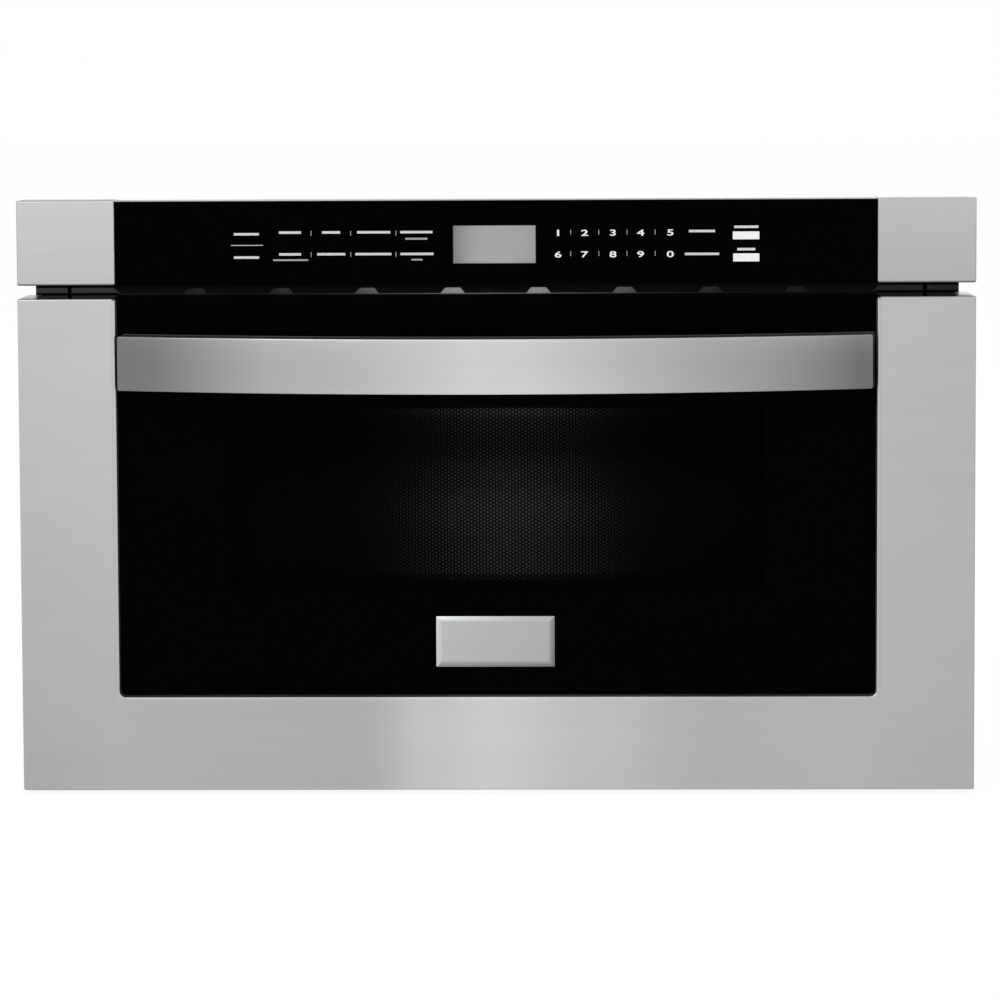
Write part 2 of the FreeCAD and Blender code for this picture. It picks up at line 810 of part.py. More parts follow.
def slide_brackets():
    """Angle brackets on the base pan that hold the outer slides."""
    y = ("case_y + pan_sheet", "slide_end_y")
    upright = box("bracket_upright", ("slide_out", "slide_out + bracket_sheet"), y,
                  ("pan_sheet", "slide_top"))
    foot = box("bracket_foot_plate", ("slide_out", "slide_out + bracket_foot"), y,
               ("pan_sheet", "pan_sheet + bracket_sheet"))
    right = fuse("bracket_right", [upright, foot])
    return group("slide_brackets", [right, mirrored("bracket_left", right)])


# ---- rack drive ----

def drive_rack():
    """Rack on the right arm's inner side, its teeth towards the middle plane."""
    pitch = math.pi * size("gear_module")
    addendum = size("tooth_addendum") * size("gear_module")
    dedendum = size("tooth_dedendum") * size("gear_module")
    half_tooth = pitch / 4 - size("gear_backlash") / 4
    tip_x = size("rack_tip_x")
    root_x = size("pitch_x") + dedendum
    slope = math.tan(math.radians(size("pressure_angle")))
    start = size("pinion_y") - size("rack_lead")
    end = size("arm_end_y")
    phase = size("pinion_y") + pitch / 2
    first = math.ceil((start + pitch / 2 - phase) / pitch)
    last = math.floor((end - pitch / 2 - phase) / pitch)
    corners = [(size("arm_in"), start), (root_x, start)]
    for tooth in range(first, last + 1):
        middle = phase + tooth * pitch
        at_root = half_tooth + dedendum * slope
        at_tip = half_tooth - addendum * slope
        corners += [(root_x, middle - at_root), (tip_x, middle - at_tip),
                    (tip_x, middle + at_tip), (root_x, middle + at_root)]
    corners += [(root_x, end), (size("arm_in"), end)]
    low = size("gear_low")
    wire = Part.makePolygon([FreeCAD.Vector(x, y, low) for x, y in corners + corners[:1]])
    rack = doc.addObject("Part::Feature", "drive_rack")
    rack.Shape = Part.Face(wire).extrude(FreeCAD.Vector(0, 0, size("gear_width")))
    return rack


def pinion_outline():
    """Points of the pinion's edge: involute flanks, with the first tooth on the X axis."""
    teeth = round(size("pinion_teeth"))
    pitch_radius = size("pitch_radius")
    tip = pitch_radius + size("tooth_addendum") * size("gear_module")
    root = pitch_radius - size("tooth_dedendum") * size("gear_module")
    pressure_angle = math.radians(size("pressure_angle"))
    base = pitch_radius * math.cos(pressure_angle)
    half_tooth = math.pi / (2 * teeth) - size("gear_backlash") / (4 * pitch_radius)
    involute = math.tan(pressure_angle) - pressure_angle
    low = max(base, root)
    flank_steps, foot_spread = 5, 0.01
    flank = []
    for step in range(flank_steps + 1):
        radius = low + (tip - low) * step / flank_steps
        pressure = math.acos(base / radius)
        flank.append((radius, half_tooth + involute - (math.tan(pressure) - pressure)))
    flank.insert(0, (root, flank[0][1] + foot_spread))
    points = []
    for tooth in range(teeth):
        middle = 2 * math.pi * tooth / teeth
        points += [(radius, middle - angle) for radius, angle in flank]
        points += [(radius, middle + angle) for radius, angle in reversed(flank)]
    return [FreeCAD.Vector(r * math.cos(a), r * math.sin(a), 0) for r, a in points]


def drive_pinion():
    """Pinion and its shaft, which turns in the gearbox."""
    points = pinion_outline()
    wheel = Part.Face(Part.makePolygon(points + points[:1]))
    wheel = wheel.extrude(FreeCAD.Vector(0, 0, size("gear_width")))
    shaft = Part.makeCylinder(size("pinion_shaft_radius"),
                              size("pinion_shaft_length") + size("gear_width"),
                              FreeCAD.Vector(0, 0, -size("pinion_shaft_length")))
    pinion = doc.addObject("Part::Feature", "drive_pinion")
    pinion.Shape = wheel.fuse(shaft).removeSplitter()
    return place(pinion, "pinion_x", "pinion_y", "gear_low")


def drive_motor():
    """Gearbox under the pinion with its motor lying behind it."""
    x = ("gearbox_out - gearbox_width", "gearbox_out")
    y = ("gearbox_y", "gearbox_y + gearbox_depth")
    gearbox = box("gearbox", x, y, ("gearbox_low", "gearbox_top"))
    motor = rod("drive_can", "y", ("gearbox_out - gearbox_width / 2", y[1],
                                   "(gearbox_low + gearbox_top) / 2"),
                "drive_can_length", "drive_can_radius")
    bore = rod("gearbox_bore", "z", ("pinion_x", "pinion_y",
                                     "gear_low - pinion_shaft_length - end_play"),
               "pinion_shaft_length + end_play", "pinion_shaft_radius + running_fit")
    return cut("drive_motor", fuse("drive_motor_body", [gearbox, motor]), [bore])


def drive_bracket():
    """Folded saddle on the base pan that holds the gearbox."""
    return folded_box("drive_bracket", ("gearbox_out - gearbox_width", "gearbox_out"),
                      ("gearbox_y", "gearbox_y + gearbox_depth"), ("pan_sheet", "gearbox_low"),
                      "bracket_sheet", ("-y", "+y", "-z"))


# ---- case ----

def base_pan():
    """Tray of steel that the unit stands on."""
    pan = folded_box("pan_tray", even("half_case"), ("case_y", "case_rear_y"), ("0", "pan_rim"),
                     "pan_sheet", ("+z",))
    slots = []
    for i in range(round(size("side_slots"))):
        middle = f"(2 * {i} - side_slots + 1) * louvre_pitch"
        slots.append(box(f"pan_slot_{i}",
                         (f"{middle} - louvre_height / 2", f"{middle} + louvre_height / 2"),
                         ("magnetron_y - pan_slot_length / 2", "magnetron_y + pan_slot_length / 2"),
                         past("0", "pan_sheet")))
    return cut("base_pan", pan, slots)


def wrapper_cover():
    """Inverted U over the top and both sides, slotted beside the fan."""
    x = even("half_chassis")
    y = ("case_y", "case_rear_y")
    shell = folded_box("cover_shell", x, y, ("chassis_lift", "chassis_height"), "case_sheet",
                       ("-y", "+y", "-z"))
    slots = []
    for i in range(round(size("side_slots"))):
        middle = f"fan_y + (2 * {i} - side_slots + 1) * louvre_pitch / 2"
        slots.append(box(f"cover_slot_{i}", past(*x),
                         (f"{middle} - louvre_height / 2", f"{middle} + louvre_height / 2"),
                         ("fan_height - cover_slot_length / 2", "fan_height + cover_slot_length / 2")))
    return cut("wrapper_cover", shell, slots)


def screw_spots():
    """Places of the rear panel's screws: three up each side and two along the top."""
    out = "half_chassis - screw_inset"
    heights = ("pan_rim + screw_inset", "chassis_height / 2", "chassis_height - screw_inset")
    spots = [(sign + f"({out})", z) for sign in ("", "-") for z in heights]
    return spots + [(sign + "(half_chassis / 3)", heights[2]) for sign in ("", "-")]


def rear_panel():
    gland = (("gland_offset", "gland_height"), "gland_neck + hole_play")
    holes = [(spot, "screw_radius + hole_play") for spot in screw_spots()]
    louvres = []
    for i in range(round(size("louvre_rows"))):
        level = f"fan_height + (2 * {i} - louvre_rows + 1) * louvre_pitch / 2"
        for middle in ("louvre_offset", "-louvre_offset"):
            louvres.append(((f"{middle} - louvre_width / 2", f"{middle} + louvre_width / 2"),
                            (f"{level} - louvre_height / 2", f"{level} + louvre_height / 2")))
    return upright_plate("rear_panel", "case_rear_y", "rear_y",
                         (even("half_chassis"), ("chassis_lift", "chassis_height")),
                         louvres, holes + [gland])


def case_screws():
    screws = []
    for i, (x, z) in enumerate(screw_spots()):
        head = rod(f"screw_head_{i}", "y", (x, "rear_y", z), "screw_head_height", "screw_head_radius")
        shank = rod(f"screw_shank_{i}", "y", (x, "rear_y - screw_length", z),
                    "screw_length + screw_head_height / 2", "screw_radius")
        screws.append(fuse(f"screw_{i}", [head, shank]))
    return group("case_screws", screws)


def front_flange():
    """Front plate: it laps the cabinet opening, and the drawer shuts against it."""
    z = ("chassis_lift", "panel_top - flange_drop")
    cavity = (even("half_cavity"), ("cavity_floor", "cavity_top"))
    low_slots = [("rack_tip_x - slot_play", "slide_out + slot_play"),
                 ("-(slide_out + slot_play)", "-(rack_tip_x - slot_play)")]
    holes = [cavity] + [(x, ("slide_low - slot_play", "slide_top + slot_play")) for x in low_slots]
    for sign in (1, -1):
        hook = f"{sign} * hook_x"
        wide = "hook_width / 2 + hook_play"
        holes.append(((f"{hook} - ({wide})", f"{hook} + {wide}"),
                      ("hook_low - hook_play", "hook_low + hook_height + hook_play")))
        slit = f"{sign} * slit_x"
        holes.append(((f"{slit} - slit_width / 2", f"{slit} + slit_width / 2"),
                      ("drawer_top - slit_drop", "drawer_top - slit_drop + slit_height")))
    count = round(size("exhaust_slots"))
    for i in range(count):
        middle = f"{i - (count - 1) / 2} * exhaust_pitch"
        holes.append(((f"{middle} - exhaust_slot_width / 2", f"{middle} + exhaust_slot_width / 2"),
                      ("shell_top + exhaust_rise", "shell_top + exhaust_rise + exhaust_slot_height")))
    rounds = [((f"{sign} * (half_flange - flange_hole_inset)",
                f"flange_hole_low + {row} * flange_hole_rise"),
               "flange_hole_radius") for sign in (1, -1) for row in (0, 1)]
    return upright_plate("front_flange", "flange_y", "case_y", (even("half_flange"), z), holes, rounds)


# ---- oven cavity, stirrer and waveguide ----

def cavity_shell():
    """Welded steel box, open at the front, with the stirrer's hole in its floor."""
    shell = folded_box("cavity_box", even("shell_out"), ("case_y", "shell_rear_y"),
                       ("well_top", "shell_top"), "cavity_sheet", ("-y",))
    hole = rod("cavity_hole", "z", ("0", "stirrer_y", "well_top"), "cavity_sheet",
               "well_radius - well_lip")
    lamp = rod("cavity_lamp_hole", "y", ("-lamp_offset", "cavity_rear_y", "fan_height"),
               "cavity_sheet", "lamp_radius - lamp_step")
    return cut("cavity_shell", shell, [hole, lamp])


def stirrer_cover():
    return turned("stirrer_cover", [("0", "0"), ("well_radius + cover_lap", "0"),
                                    ("well_radius + cover_lap", "cover_thickness"),
                                    ("0", "cover_thickness")],
                  ("0", "stirrer_y", "cavity_floor"))


def stirrer_well():
    """Round pan under the cavity floor, open to the waveguide at the back."""
    centre = ("0", "stirrer_y", "well_low")
    drum = rod("well_drum", "z", centre, "well_height", "well_radius")
    inside = rod("well_inside", "z", ("0", "stirrer_y", "well_low + well_sheet"), "well_height",
                 "well_radius - well_sheet")
    shaft = rod("well_shaft_hole", "z", ("0", "stirrer_y", "well_low"), "well_sheet",
                "spindle_radius + shaft_hole_play")
    mouth = box("well_mouth", even("guide_width / 2 - guide_sheet"),
                ("stirrer_y + well_radius / 2", "stirrer_y + well_radius"),
                ("well_low + guide_sheet", "well_top - guide_sheet"))
    return cut("stirrer_well", drum, [inside, shaft, mouth])


def waveguide():
    """Flat duct from the magnetron's antenna to the stirrer well."""
    x = even("guide_width / 2")
    y = ("stirrer_y + well_radius / 2", "guide_end_y")
    duct = folded_box("guide_duct", x, y, ("well_low", "well_top"), "guide_sheet", ("-y",))
    well = rod("guide_well", "z", ("0", "stirrer_y", "well_low"), "well_height", "well_radius")
    antenna = rod("guide_hole", "z", ("0", "magnetron_y", "well_top - guide_sheet"),
                  "guide_sheet", "antenna_radius + antenna_play")
    return cut("waveguide", duct, [well, antenna])


def stirrer_motor():
    can = rod("stirrer_can", "z", ("0", "stirrer_y", "well_low - stirrer_motor_height"),
              "stirrer_motor_height", "stirrer_motor_radius")
    bore = rod("stirrer_bore", "z", ("0", "stirrer_y", "hub_low - spindle_length - end_play"),
               "spindle_length + end_play", "spindle_radius + running_fit")
    return cut("stirrer_motor", can, [bore])


def stirrer_blade():
    """Spindle and hub with flat vanes, which spread the field."""
    body = turned("stirrer_blade", [("0", "-spindle_length"),
                                           ("spindle_radius", "-spindle_length"),
                                           ("spindle_radius", "0"), ("hub_radius", "0"),
                                           ("hub_radius", "hub_height"), ("0", "hub_height")],
                         ("0", "stirrer_y", "hub_low"))
    vane = new_sketch(body, "vane_outline", "XY_Plane", "hub_height / 2")
    rectangle(vane, ("hub_radius / 2", "vane_length"), even("vane_width / 2"))
    blade = pad(body, "vane_pad", vane, "vane_sheet")
    return round_pattern(body, blade, "vane_count")


# ---- magnetron ----

def magnetron_yoke():
    x = even("magnetron_width / 2")
    y = ("magnetron_y - magnetron_depth / 2", "magnetron_y + magnetron_depth / 2")
    frame = folded_box("yoke_frame", x, y, ("well_top", "well_top + magnetron_height"),
                       "magnetron_sheet", ("-y", "+y"))
    hole = rod("yoke_hole", "z", ("0", "magnetron_y", "well_top"), "magnetron_sheet",
               "antenna_radius + antenna_play")
    return cut("magnetron_yoke", frame, [hole])


def magnetron_core():
    """Anode, cooling fins and antenna, which reaches down into the waveguide."""
    low = "well_top + magnetron_sheet"
    inner = "(magnetron_height - 2 * magnetron_sheet)"
    anode = rod("anode", "z", ("0", "magnetron_y", low), inner, "anode_radius")
    antenna = rod("antenna", "z", ("0", "magnetron_y", f"{low} - antenna_length"), "antenna_length",
                  "antenna_radius")
    fins = []
    count = round(size("fin_count"))
    for i in range(count):
        level = f"{low} + {inner} / 2 + {i - (count - 1) / 2} * fin_pitch"
        fins.append(box(f"fin_{i}", even("magnetron_width / 2 - magnetron_sheet"),
                        ("magnetron_y - magnetron_depth / 2 + fin_inset",
                         "magnetron_y + magnetron_depth / 2 - fin_inset"),
                        (level, f"{level} + fin_thickness")))
    return fuse("magnetron_core", [anode, antenna] + fins)


# ---- high-voltage supply ----

def transformer_core():
    """Laminated block with two windows beside its middle leg."""
    x = ("transformer_x - core_width / 2", "transformer_x + core_width / 2")
    y = ("magnetron_y - core_depth / 2", "magnetron_y + core_depth / 2")
    z = ("pan_sheet", "pan_sheet + core_height")
    windows = []
    for side, sign in (("right", 1), ("left", -1)):
        near, far = "core_leg", "core_width / 2 - core_leg"
        bounds = (near, far) if sign > 0 else (far, near)
        windows.append(box("core_window_" + side,
                           tuple(f"transformer_x + {sign} * ({edge})" for edge in bounds),
                           past(*y), (f"{z[0]} + core_leg", f"{z[1]} - core_leg")))
    return cut("transformer_core", box("core_block", x, y, z), windows)


def transformer_coil():
    """Winding around the middle leg."""
    z = ("pan_sheet + core_leg + coil_play", "pan_sheet + core_height - core_leg - coil_play")
    near = "core_leg + coil_play"
    out_x, out_y = "core_width / 2 - core_leg - coil_play", "core_depth / 2 + coil_width"
    middle = "transformer_x"
    outer = box("coil_outer", (f"{middle} - ({out_x})", f"{middle} + {out_x}"),
                (f"magnetron_y - ({out_y})", f"magnetron_y + {out_y}"), z)
    inner = box("coil_inner", (f"{middle} - ({near})", f"{middle} + {near}"),
                ("magnetron_y - core_depth / 2 - coil_play", "magnetron_y + core_depth / 2 + coil_play"),
                past(*z))
    return cut("transformer_coil", outer, [inner])


def hv_capacitor():
    """Flat oval can lying on the pan, with two terminals."""
    x = "capacitor_x - capacitor_length / 2"
    level = "pan_sheet + capacitor_radius"
    pieces = []
    for end, sign in (("front", "-"), ("rear", "+")):
        y = f"magnetron_y {sign} capacitor_span / 2"
        pieces.append(rod("can_" + end, "x", (x, y, level), "capacitor_length", "capacitor_radius"))
        pieces.append(box("terminal_" + end, (f"{x} - terminal_length", past(x, x)[1]),
                          (f"{y} - terminal_width / 2", f"{y} + terminal_width / 2"),
                          (f"{level} - terminal_sheet / 2", f"{level} + terminal_sheet / 2")))
    pieces.append(box("can_middle", (x, f"{x} + capacitor_length"),
                      ("magnetron_y - capacitor_span / 2", "magnetron_y + capacitor_span / 2"),
                      ("pan_sheet", "pan_sheet + 2 * capacitor_radius")))
    return fuse("hv_capacitor", pieces)


# ---- cooling fan, blowing across the magnetron ----

def fan_shroud():
    """Square housing on the rear panel with a round throat and a strut for the motor."""
    y = ("fan_y - shroud_size / 2", "fan_y + shroud_size / 2")
    z = ("fan_height - shroud_size / 2", "fan_height + shroud_size / 2")
    x = ("fan_offset - shroud_depth / 2", "fan_offset + shroud_depth / 2")
    throat = rod("fan_throat", "x", (x[0], "fan_y", "fan_height"), "shroud_depth",
                 "fan_radius + fan_tip_gap")
    housing = cut("shroud_housing", box("shroud_block", x, y, z), [throat])
    strut = box("shroud_strut", (x[1], f"{x[1]} + strut_sheet"),
                ("fan_y - strut_width", "fan_y + strut_width"), z)
    shaft = rod("strut_hole", "x", (x[1], "fan_y", "fan_height"), "strut_sheet",
                "fan_shaft_radius + strut_hole_play")
    return cut("fan_shroud", fuse("shroud_joined", [housing, strut]), [shaft])


def fan_motor():
    start = "fan_offset + shroud_depth / 2 + strut_sheet"
    can = rod("fan_can", "x", (start, "fan_y", "fan_height"), "fan_motor_length", "fan_motor_radius")
    bore = rod("fan_bore", "x", (start, "fan_y", "fan_height"), "fan_motor_length / 2",
               "fan_shaft_radius + running_fit")
    return cut("fan_motor", can, [bore])


def fan_rotor():
    """Hub and shaft with slanted blades, turning about the X axis."""
    shaft_end = "strut_sheet + fan_motor_length / 2 - end_play + (shroud_depth - fan_hub_length) / 2"
    body = turned("fan_rotor",
                         [("0", "0"), ("fan_hub_radius", "0"), ("fan_hub_radius", "fan_hub_length"),
                          ("fan_shaft_radius", "fan_hub_length"),
                          ("fan_shaft_radius", f"fan_hub_length + {shaft_end}"),
                          ("0", f"fan_hub_length + {shaft_end}")],
                         ("fan_offset - fan_hub_length / 2", "fan_y", "fan_height"), turn=alongX)
    foot = "(fan_hub_radius - fan_blade_root)"
    sketch = new_sketch(body, "blade_outline", "YZ_Plane", foot)
    half = "fan_blade_span / 2"
    lean = "fan_hub_length / 2 * tan(fan_blade_angle)"
    outline(sketch, [(f"-{lean}", f"fan_hub_length / 2 - {half}"),
                     (f"fan_blade_sheet - {lean}", f"fan_hub_length / 2 - {half}"),
                     (f"fan_blade_sheet + {lean}", f"fan_hub_length / 2 + {half}"),
                     (lean, f"fan_hub_length / 2 + {half}")])
    blade = pad(body, "blade_pad", sketch,
                f"sqrt(fan_radius ^ 2 - ({lean} + fan_blade_sheet) ^ 2) - {foot}")
    return round_pattern(body, blade, "fan_blades")


# ---- control panel ----

def control_fascia():
    """Stainless end blocks joined by the lip over the glass."""
    y = ("face_y", "drawer_back_y")
    z = ("panel_low", "panel_top")
    pieces = []
    for side, outer in (("right", ("half_opening", "half_front")),
                        ("left", ("-half_front", "-half_opening"))):
        block = folded_box("fascia_" + side, outer, y, z, "front_sheet", ("+y",))
        relief = box("fascia_relief_" + side, outer,
                     ("face_y + fascia_return", past(*y)[1]),
                     ("panel_top - front_sheet", past(*z)[1]))
        opening = box("fascia_opening_" + side, past(*outer), ("glass_back_panel_y", past(*y)[1]),
                      ("panel_low + front_sheet", "panel_top - front_sheet"))
        keep = box("fascia_side_" + side,
                   ("half_front - front_sheet", "half_front") if side == "right"
                   else ("-half_front", "front_sheet - half_front"),
                   y, (z[0], f"{z[1]} - front_sheet"))
        pieces.append(fuse("fascia_block_" + side,
                           [cut("fascia_open_" + side, block, [relief, opening]), keep]))
    pieces.append(box("fascia_lip", even("half_opening"), ("face_y", "face_y + fascia_return"),
                      ("panel_glass_top", "panel_top")))
    return fuse("control_fascia", pieces)


def control_glass():
    return upright_plate("control_glass", "face_y", "glass_back_panel_y",
                         (even("half_opening - panel_glass_play"),
                          ("panel_low", "panel_glass_top")))


def control_housing():
    """Plastic tray behind the glass, on the front flange, with bosses for the board."""
    x = even("housing_out")
    y = ("glass_back_panel_y", "flange_y")
    z = ("housing_low", "housing_top")
    tray = folded_box("housing_tray", x, y, z, "housing_wall", ("-y",))
    back = f"{y[1]} - housing_wall"
    bosses = []
    for sign in (1, -1):
        for level in ("-1", "1"):
            start = (f"{sign} * (board_width / 2 - boss_side_inset)",
                     "display_back_y + board_thickness",
                     f"display_z + ({level}) * (board_height / 2 - boss_edge_inset)")
            bosses.append(rod(f"boss_{len(bosses)}", "y", start,
                              f"{back} + housing_wall / 2 - ({start[1]})", "boss_radius"))
    return fuse("control_housing", [tray] + bosses)


def display_module():
    return upright_plate("display_module", "glass_back_panel_y", "display_back_y",
                         (even("display_width / 2"),
                          ("display_z - display_height / 2", "display_z + display_height / 2")))


def control_board():
    return upright_plate("control_board", "display_back_y", "display_back_y + board_thickness",
                         (even("board_width / 2"),
                          ("display_z - board_height / 2", "display_z + board_height / 2")))


def vent_skirt():
    """Toothed strip that hangs under the panel glass, with a flange under the housing."""
    count = round(size("notch_count"))
    body = new_body("vent_skirt")
    sketch = new_sketch(body, "skirt_outline", "XZ_Plane", "-(glass_back_panel_y + skirt_sheet)")
    neck, ear = "(half_opening - skirt_neck_inset)", "(half_opening + skirt_ear)"
    shoulder = "panel_low - housing_play"
    corners = [(f"-{neck}", "housing_low"), (f"-{neck}", shoulder), (f"-{ear}", shoulder),
               (f"skirt_slant - {ear}", "skirt_low")]
    for i in range(count):
        middle = f"{i - (count - 1) / 2} * notch_pitch"
        roof = "skirt_low + notch_height"
        corners += [(f"{middle} - notch_bottom / 2", "skirt_low"),
                    (f"{middle} - notch_top / 2", roof), (f"{middle} + notch_top / 2", roof),
                    (f"{middle} + notch_bottom / 2", "skirt_low")]
    corners += [(f"{ear} - skirt_slant", "skirt_low"), (ear, shoulder), (neck, shoulder),
                (neck, "housing_low")]
    outline(sketch, corners)
    pad(body, "skirt_pad", sketch, "skirt_sheet")
    top = new_sketch(body, "skirt_flange_outline", "XY_Plane", "housing_low - skirt_sheet")
    rectangle(top, even(neck),
              ("glass_back_panel_y", "glass_back_panel_y + skirt_flange_depth"))
    pad(body, "skirt_flange_pad", top, "skirt_sheet")
    return body


# ---- interlock switches on top of the cavity ----

def switch_pair():
    """A switch block each side, with a sprung plunger facing the drawer's hook."""
    x = ("hook_x - switch_width / 2", "hook_x + switch_width / 2")
    level = "hook_low + hook_height / 2"
    block = box("switch_block", x, ("switch_y", "switch_y + switch_length"),
                ("shell_top", "shell_top + switch_height"))
    bore = rod("switch_bore", "y", ("hook_x", "switch_y", level),
               "plunger_length", "plunger_radius + running_fit")
    right = cut("switch_block_right", block, [bore])
    plunger = rod("switch_plunger_right", "y", ("hook_x", "plunger_y", level),
                  "plunger_length", "plunger_radius")
    return [right, mirrored("switch_block_left", right),
            plunger, mirrored("switch_plunger_left", plunger)]


# ---- small things on the cavity and the rear panel ----

def exhaust_duct():
    """Duct along the cavity's top to the slots in the front flange."""
    return folded_box("exhaust_duct", even("half_duct"), ("case_y", "shell_rear_y"),
                      ("shell_top", "shell_top + duct_height"), "duct_wall", ("-y", "+y"))


def cavity_lamp():
    """Lamp in its holder behind the cavity's rear wall."""
    return turned("cavity_lamp", [("0", "0"), ("lamp_radius", "0"),
                                         ("lamp_radius", "lamp_length / 2"),
                                         ("lamp_radius - lamp_step", "lamp_length / 2"),
                                         ("lamp_radius - lamp_step", "lamp_length"),
                                         ("0", "lamp_length")],
                         ("-lamp_offset", "shell_rear_y", "fan_height"), turn=alongY)


def thermal_cutout():
    x = "half_duct + cutout_gap"
    top = "shell_top + cutout_height"
    pieces = [rod("cutout_disc", "z", (x, "stirrer_y", "shell_top"), "cutout_height", "cutout_radius")]
    for side, sign in (("right", 1), ("left", -1)):
        tab = f"{x} + {sign} * tab_spread / 2"
        pieces.append(box("cutout_tab_" + side, (f"{tab} - tab_sheet / 2", f"{tab} + tab_sheet / 2"),
                          ("stirrer_y - tab_width / 2", "stirrer_y + tab_width / 2"),
                          (past(top, top)[0], f"{top} + tab_height")))
    return fuse("thermal_cutout", pieces)


def relay_board():
    """Power board beside the duct, on two ribs, with a row of relays."""
    x = ("-(half_duct + relay_board_gap + relay_board_width)", "-(half_duct + relay_board_gap)")
    y = ("stirrer_y - relay_board_length / 2", "stirrer_y + relay_board_length / 2")
    low = "shell_top + relay_board_lift"
    pieces = [box("relay_plate", x, y, (low, f"{low} + board_thickness"))]
    for i, where in enumerate((y[0], f"{y[1]} - relay_rib_width")):
        pieces.append(box(f"relay_rib_{i}", (f"{x[1]} - relay_rib_length", x[1]),
                          (where, f"{where} + relay_rib_width"),
                          ("shell_top", f"{low} + board_thickness / 2")))
    for i in range(round(size("relay_count"))):
        start = f"{y[0]} + relay_first + {i} * (relay_size + relay_gap)"
        pieces.append(box(f"relay_{i}",
                          (f"{x[0]} + relay_inset", f"{x[0]} + relay_inset + relay_length"),
                          (start, f"{start} + relay_size"),
                          (low, f"{low} + board_thickness + relay_size")))
    return fuse("relay_board", pieces)


def cord_gland():
    """Bushing in the rear panel; the mains cord would pass through its bore."""
    return turned("cord_gland",
                         [("gland_bore", "-case_sheet - gland_out"),
                          ("gland_radius", "-case_sheet - gland_out"),
                          ("gland_radius", "-case_sheet"), ("gland_neck", "-case_sheet"),
                          ("gland_neck", "0"), ("gland_radius", "0"),
                          ("gland_radius - gland_taper", "gland_out"),
                          ("gland_bore", "gland_out")],
                         ("gland_offset", "rear_y", "gland_height"), turn=alongY)


pieces = [
    base_pan(), wrapper_cover(), rear_panel(), front_flange(), case_screws(), cord_gland(),
    cavity_shell(), stirrer_well(), stirrer_cover(), stirrer_motor(), stirrer_blade(), waveguide(),
    magnetron_yoke(), magnetron_core(), transformer_core(), transformer_coil(), hv_capacitor(),
    fan_shroud(), fan_motor(), fan_rotor(), exhaust_duct(), cavity_lamp(), thermal_cutout(),
    relay_board(), *switch_pair(),
    control_fascia(), control_glass(), control_housing(), display_module(), control_board(),
    vent_skirt(),
    slide_brackets(), *slide_outer(), *slide_mid(), *slide_inner(),
    drive_motor(), drive_bracket(), drive_pinion(), drive_rack(),
    drawer_frame(), door_glass(), glass_gasket(), back_panel(), window_screen(), choke_ring(),
    badge_plate(), handle_strip(), handle_core(), handle_posts(),
    drawer_basket(), ceramic_tray(), drawer_carriage(), latch_hooks(),
]
doc.recompute()

for thing in doc.Objects:
    if "Invalid" in thing.State or "Error" in thing.State:
        raise SystemExit(f"{thing.Name} failed to build: {thing.State}")
for piece in pieces:
    piece.Label = piece.Name
    if piece.Shape.isNull() or not piece.Shape.isValid() or not piece.Shape.Solids:
        raise SystemExit(f"{piece.Name} has no valid solid")

os.makedirs("parts", exist_ok=True)
for piece in pieces:
    piece.Shape.exportStep(f"parts/{piece.Label}.step")
print(len(pieces), "pieces written")
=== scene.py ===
import math

import bmesh
import bpy
import numpy as np
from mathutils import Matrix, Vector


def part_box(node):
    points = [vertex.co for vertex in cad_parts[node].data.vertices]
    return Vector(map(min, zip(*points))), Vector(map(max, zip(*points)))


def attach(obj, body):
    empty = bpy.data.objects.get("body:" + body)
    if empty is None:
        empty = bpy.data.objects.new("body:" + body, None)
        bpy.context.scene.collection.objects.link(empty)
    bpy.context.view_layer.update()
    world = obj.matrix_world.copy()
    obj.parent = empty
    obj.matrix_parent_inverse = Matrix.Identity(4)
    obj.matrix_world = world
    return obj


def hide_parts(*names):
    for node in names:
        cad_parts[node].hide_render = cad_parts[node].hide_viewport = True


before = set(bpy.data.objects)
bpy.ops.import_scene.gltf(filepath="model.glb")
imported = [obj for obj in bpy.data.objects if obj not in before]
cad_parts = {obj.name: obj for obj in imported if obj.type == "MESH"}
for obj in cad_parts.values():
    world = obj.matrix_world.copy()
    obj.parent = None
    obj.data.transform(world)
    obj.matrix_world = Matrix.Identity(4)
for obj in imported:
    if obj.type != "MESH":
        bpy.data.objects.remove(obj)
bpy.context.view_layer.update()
print("frame loaded,", len(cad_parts), "nodes")

steelTint = (0.985, 1.0, 1.015)


def grey(level):
    # a steel grey as read on a screen, 0 to 255, turned into the light it stands for
    light = ((level / 255 + 0.055) / 1.055) ** 2.4
    return tuple(light * t for t in steelTint) + (1.0,)


def gridFaces(rows, columns, wrap=False):
    # quads of a grid whose points run row by row; wrap joins the last column to the first
    row = np.arange(rows - 1)[:, None]
    column = np.arange(columns if wrap else columns - 1)[None, :]
    following = (column + 1) % columns
    quads = np.stack([row * columns + column, row * columns + following,
                      (row + 1) * columns + following, (row + 1) * columns + column], -1)
    return quads.reshape(-1, 4).tolist()


def capFaces(rows, columns):
    # the two end faces of a tube made by a wrapped grid
    return [list(range(columns)), [rows * columns - 1 - index for index in range(columns)]]


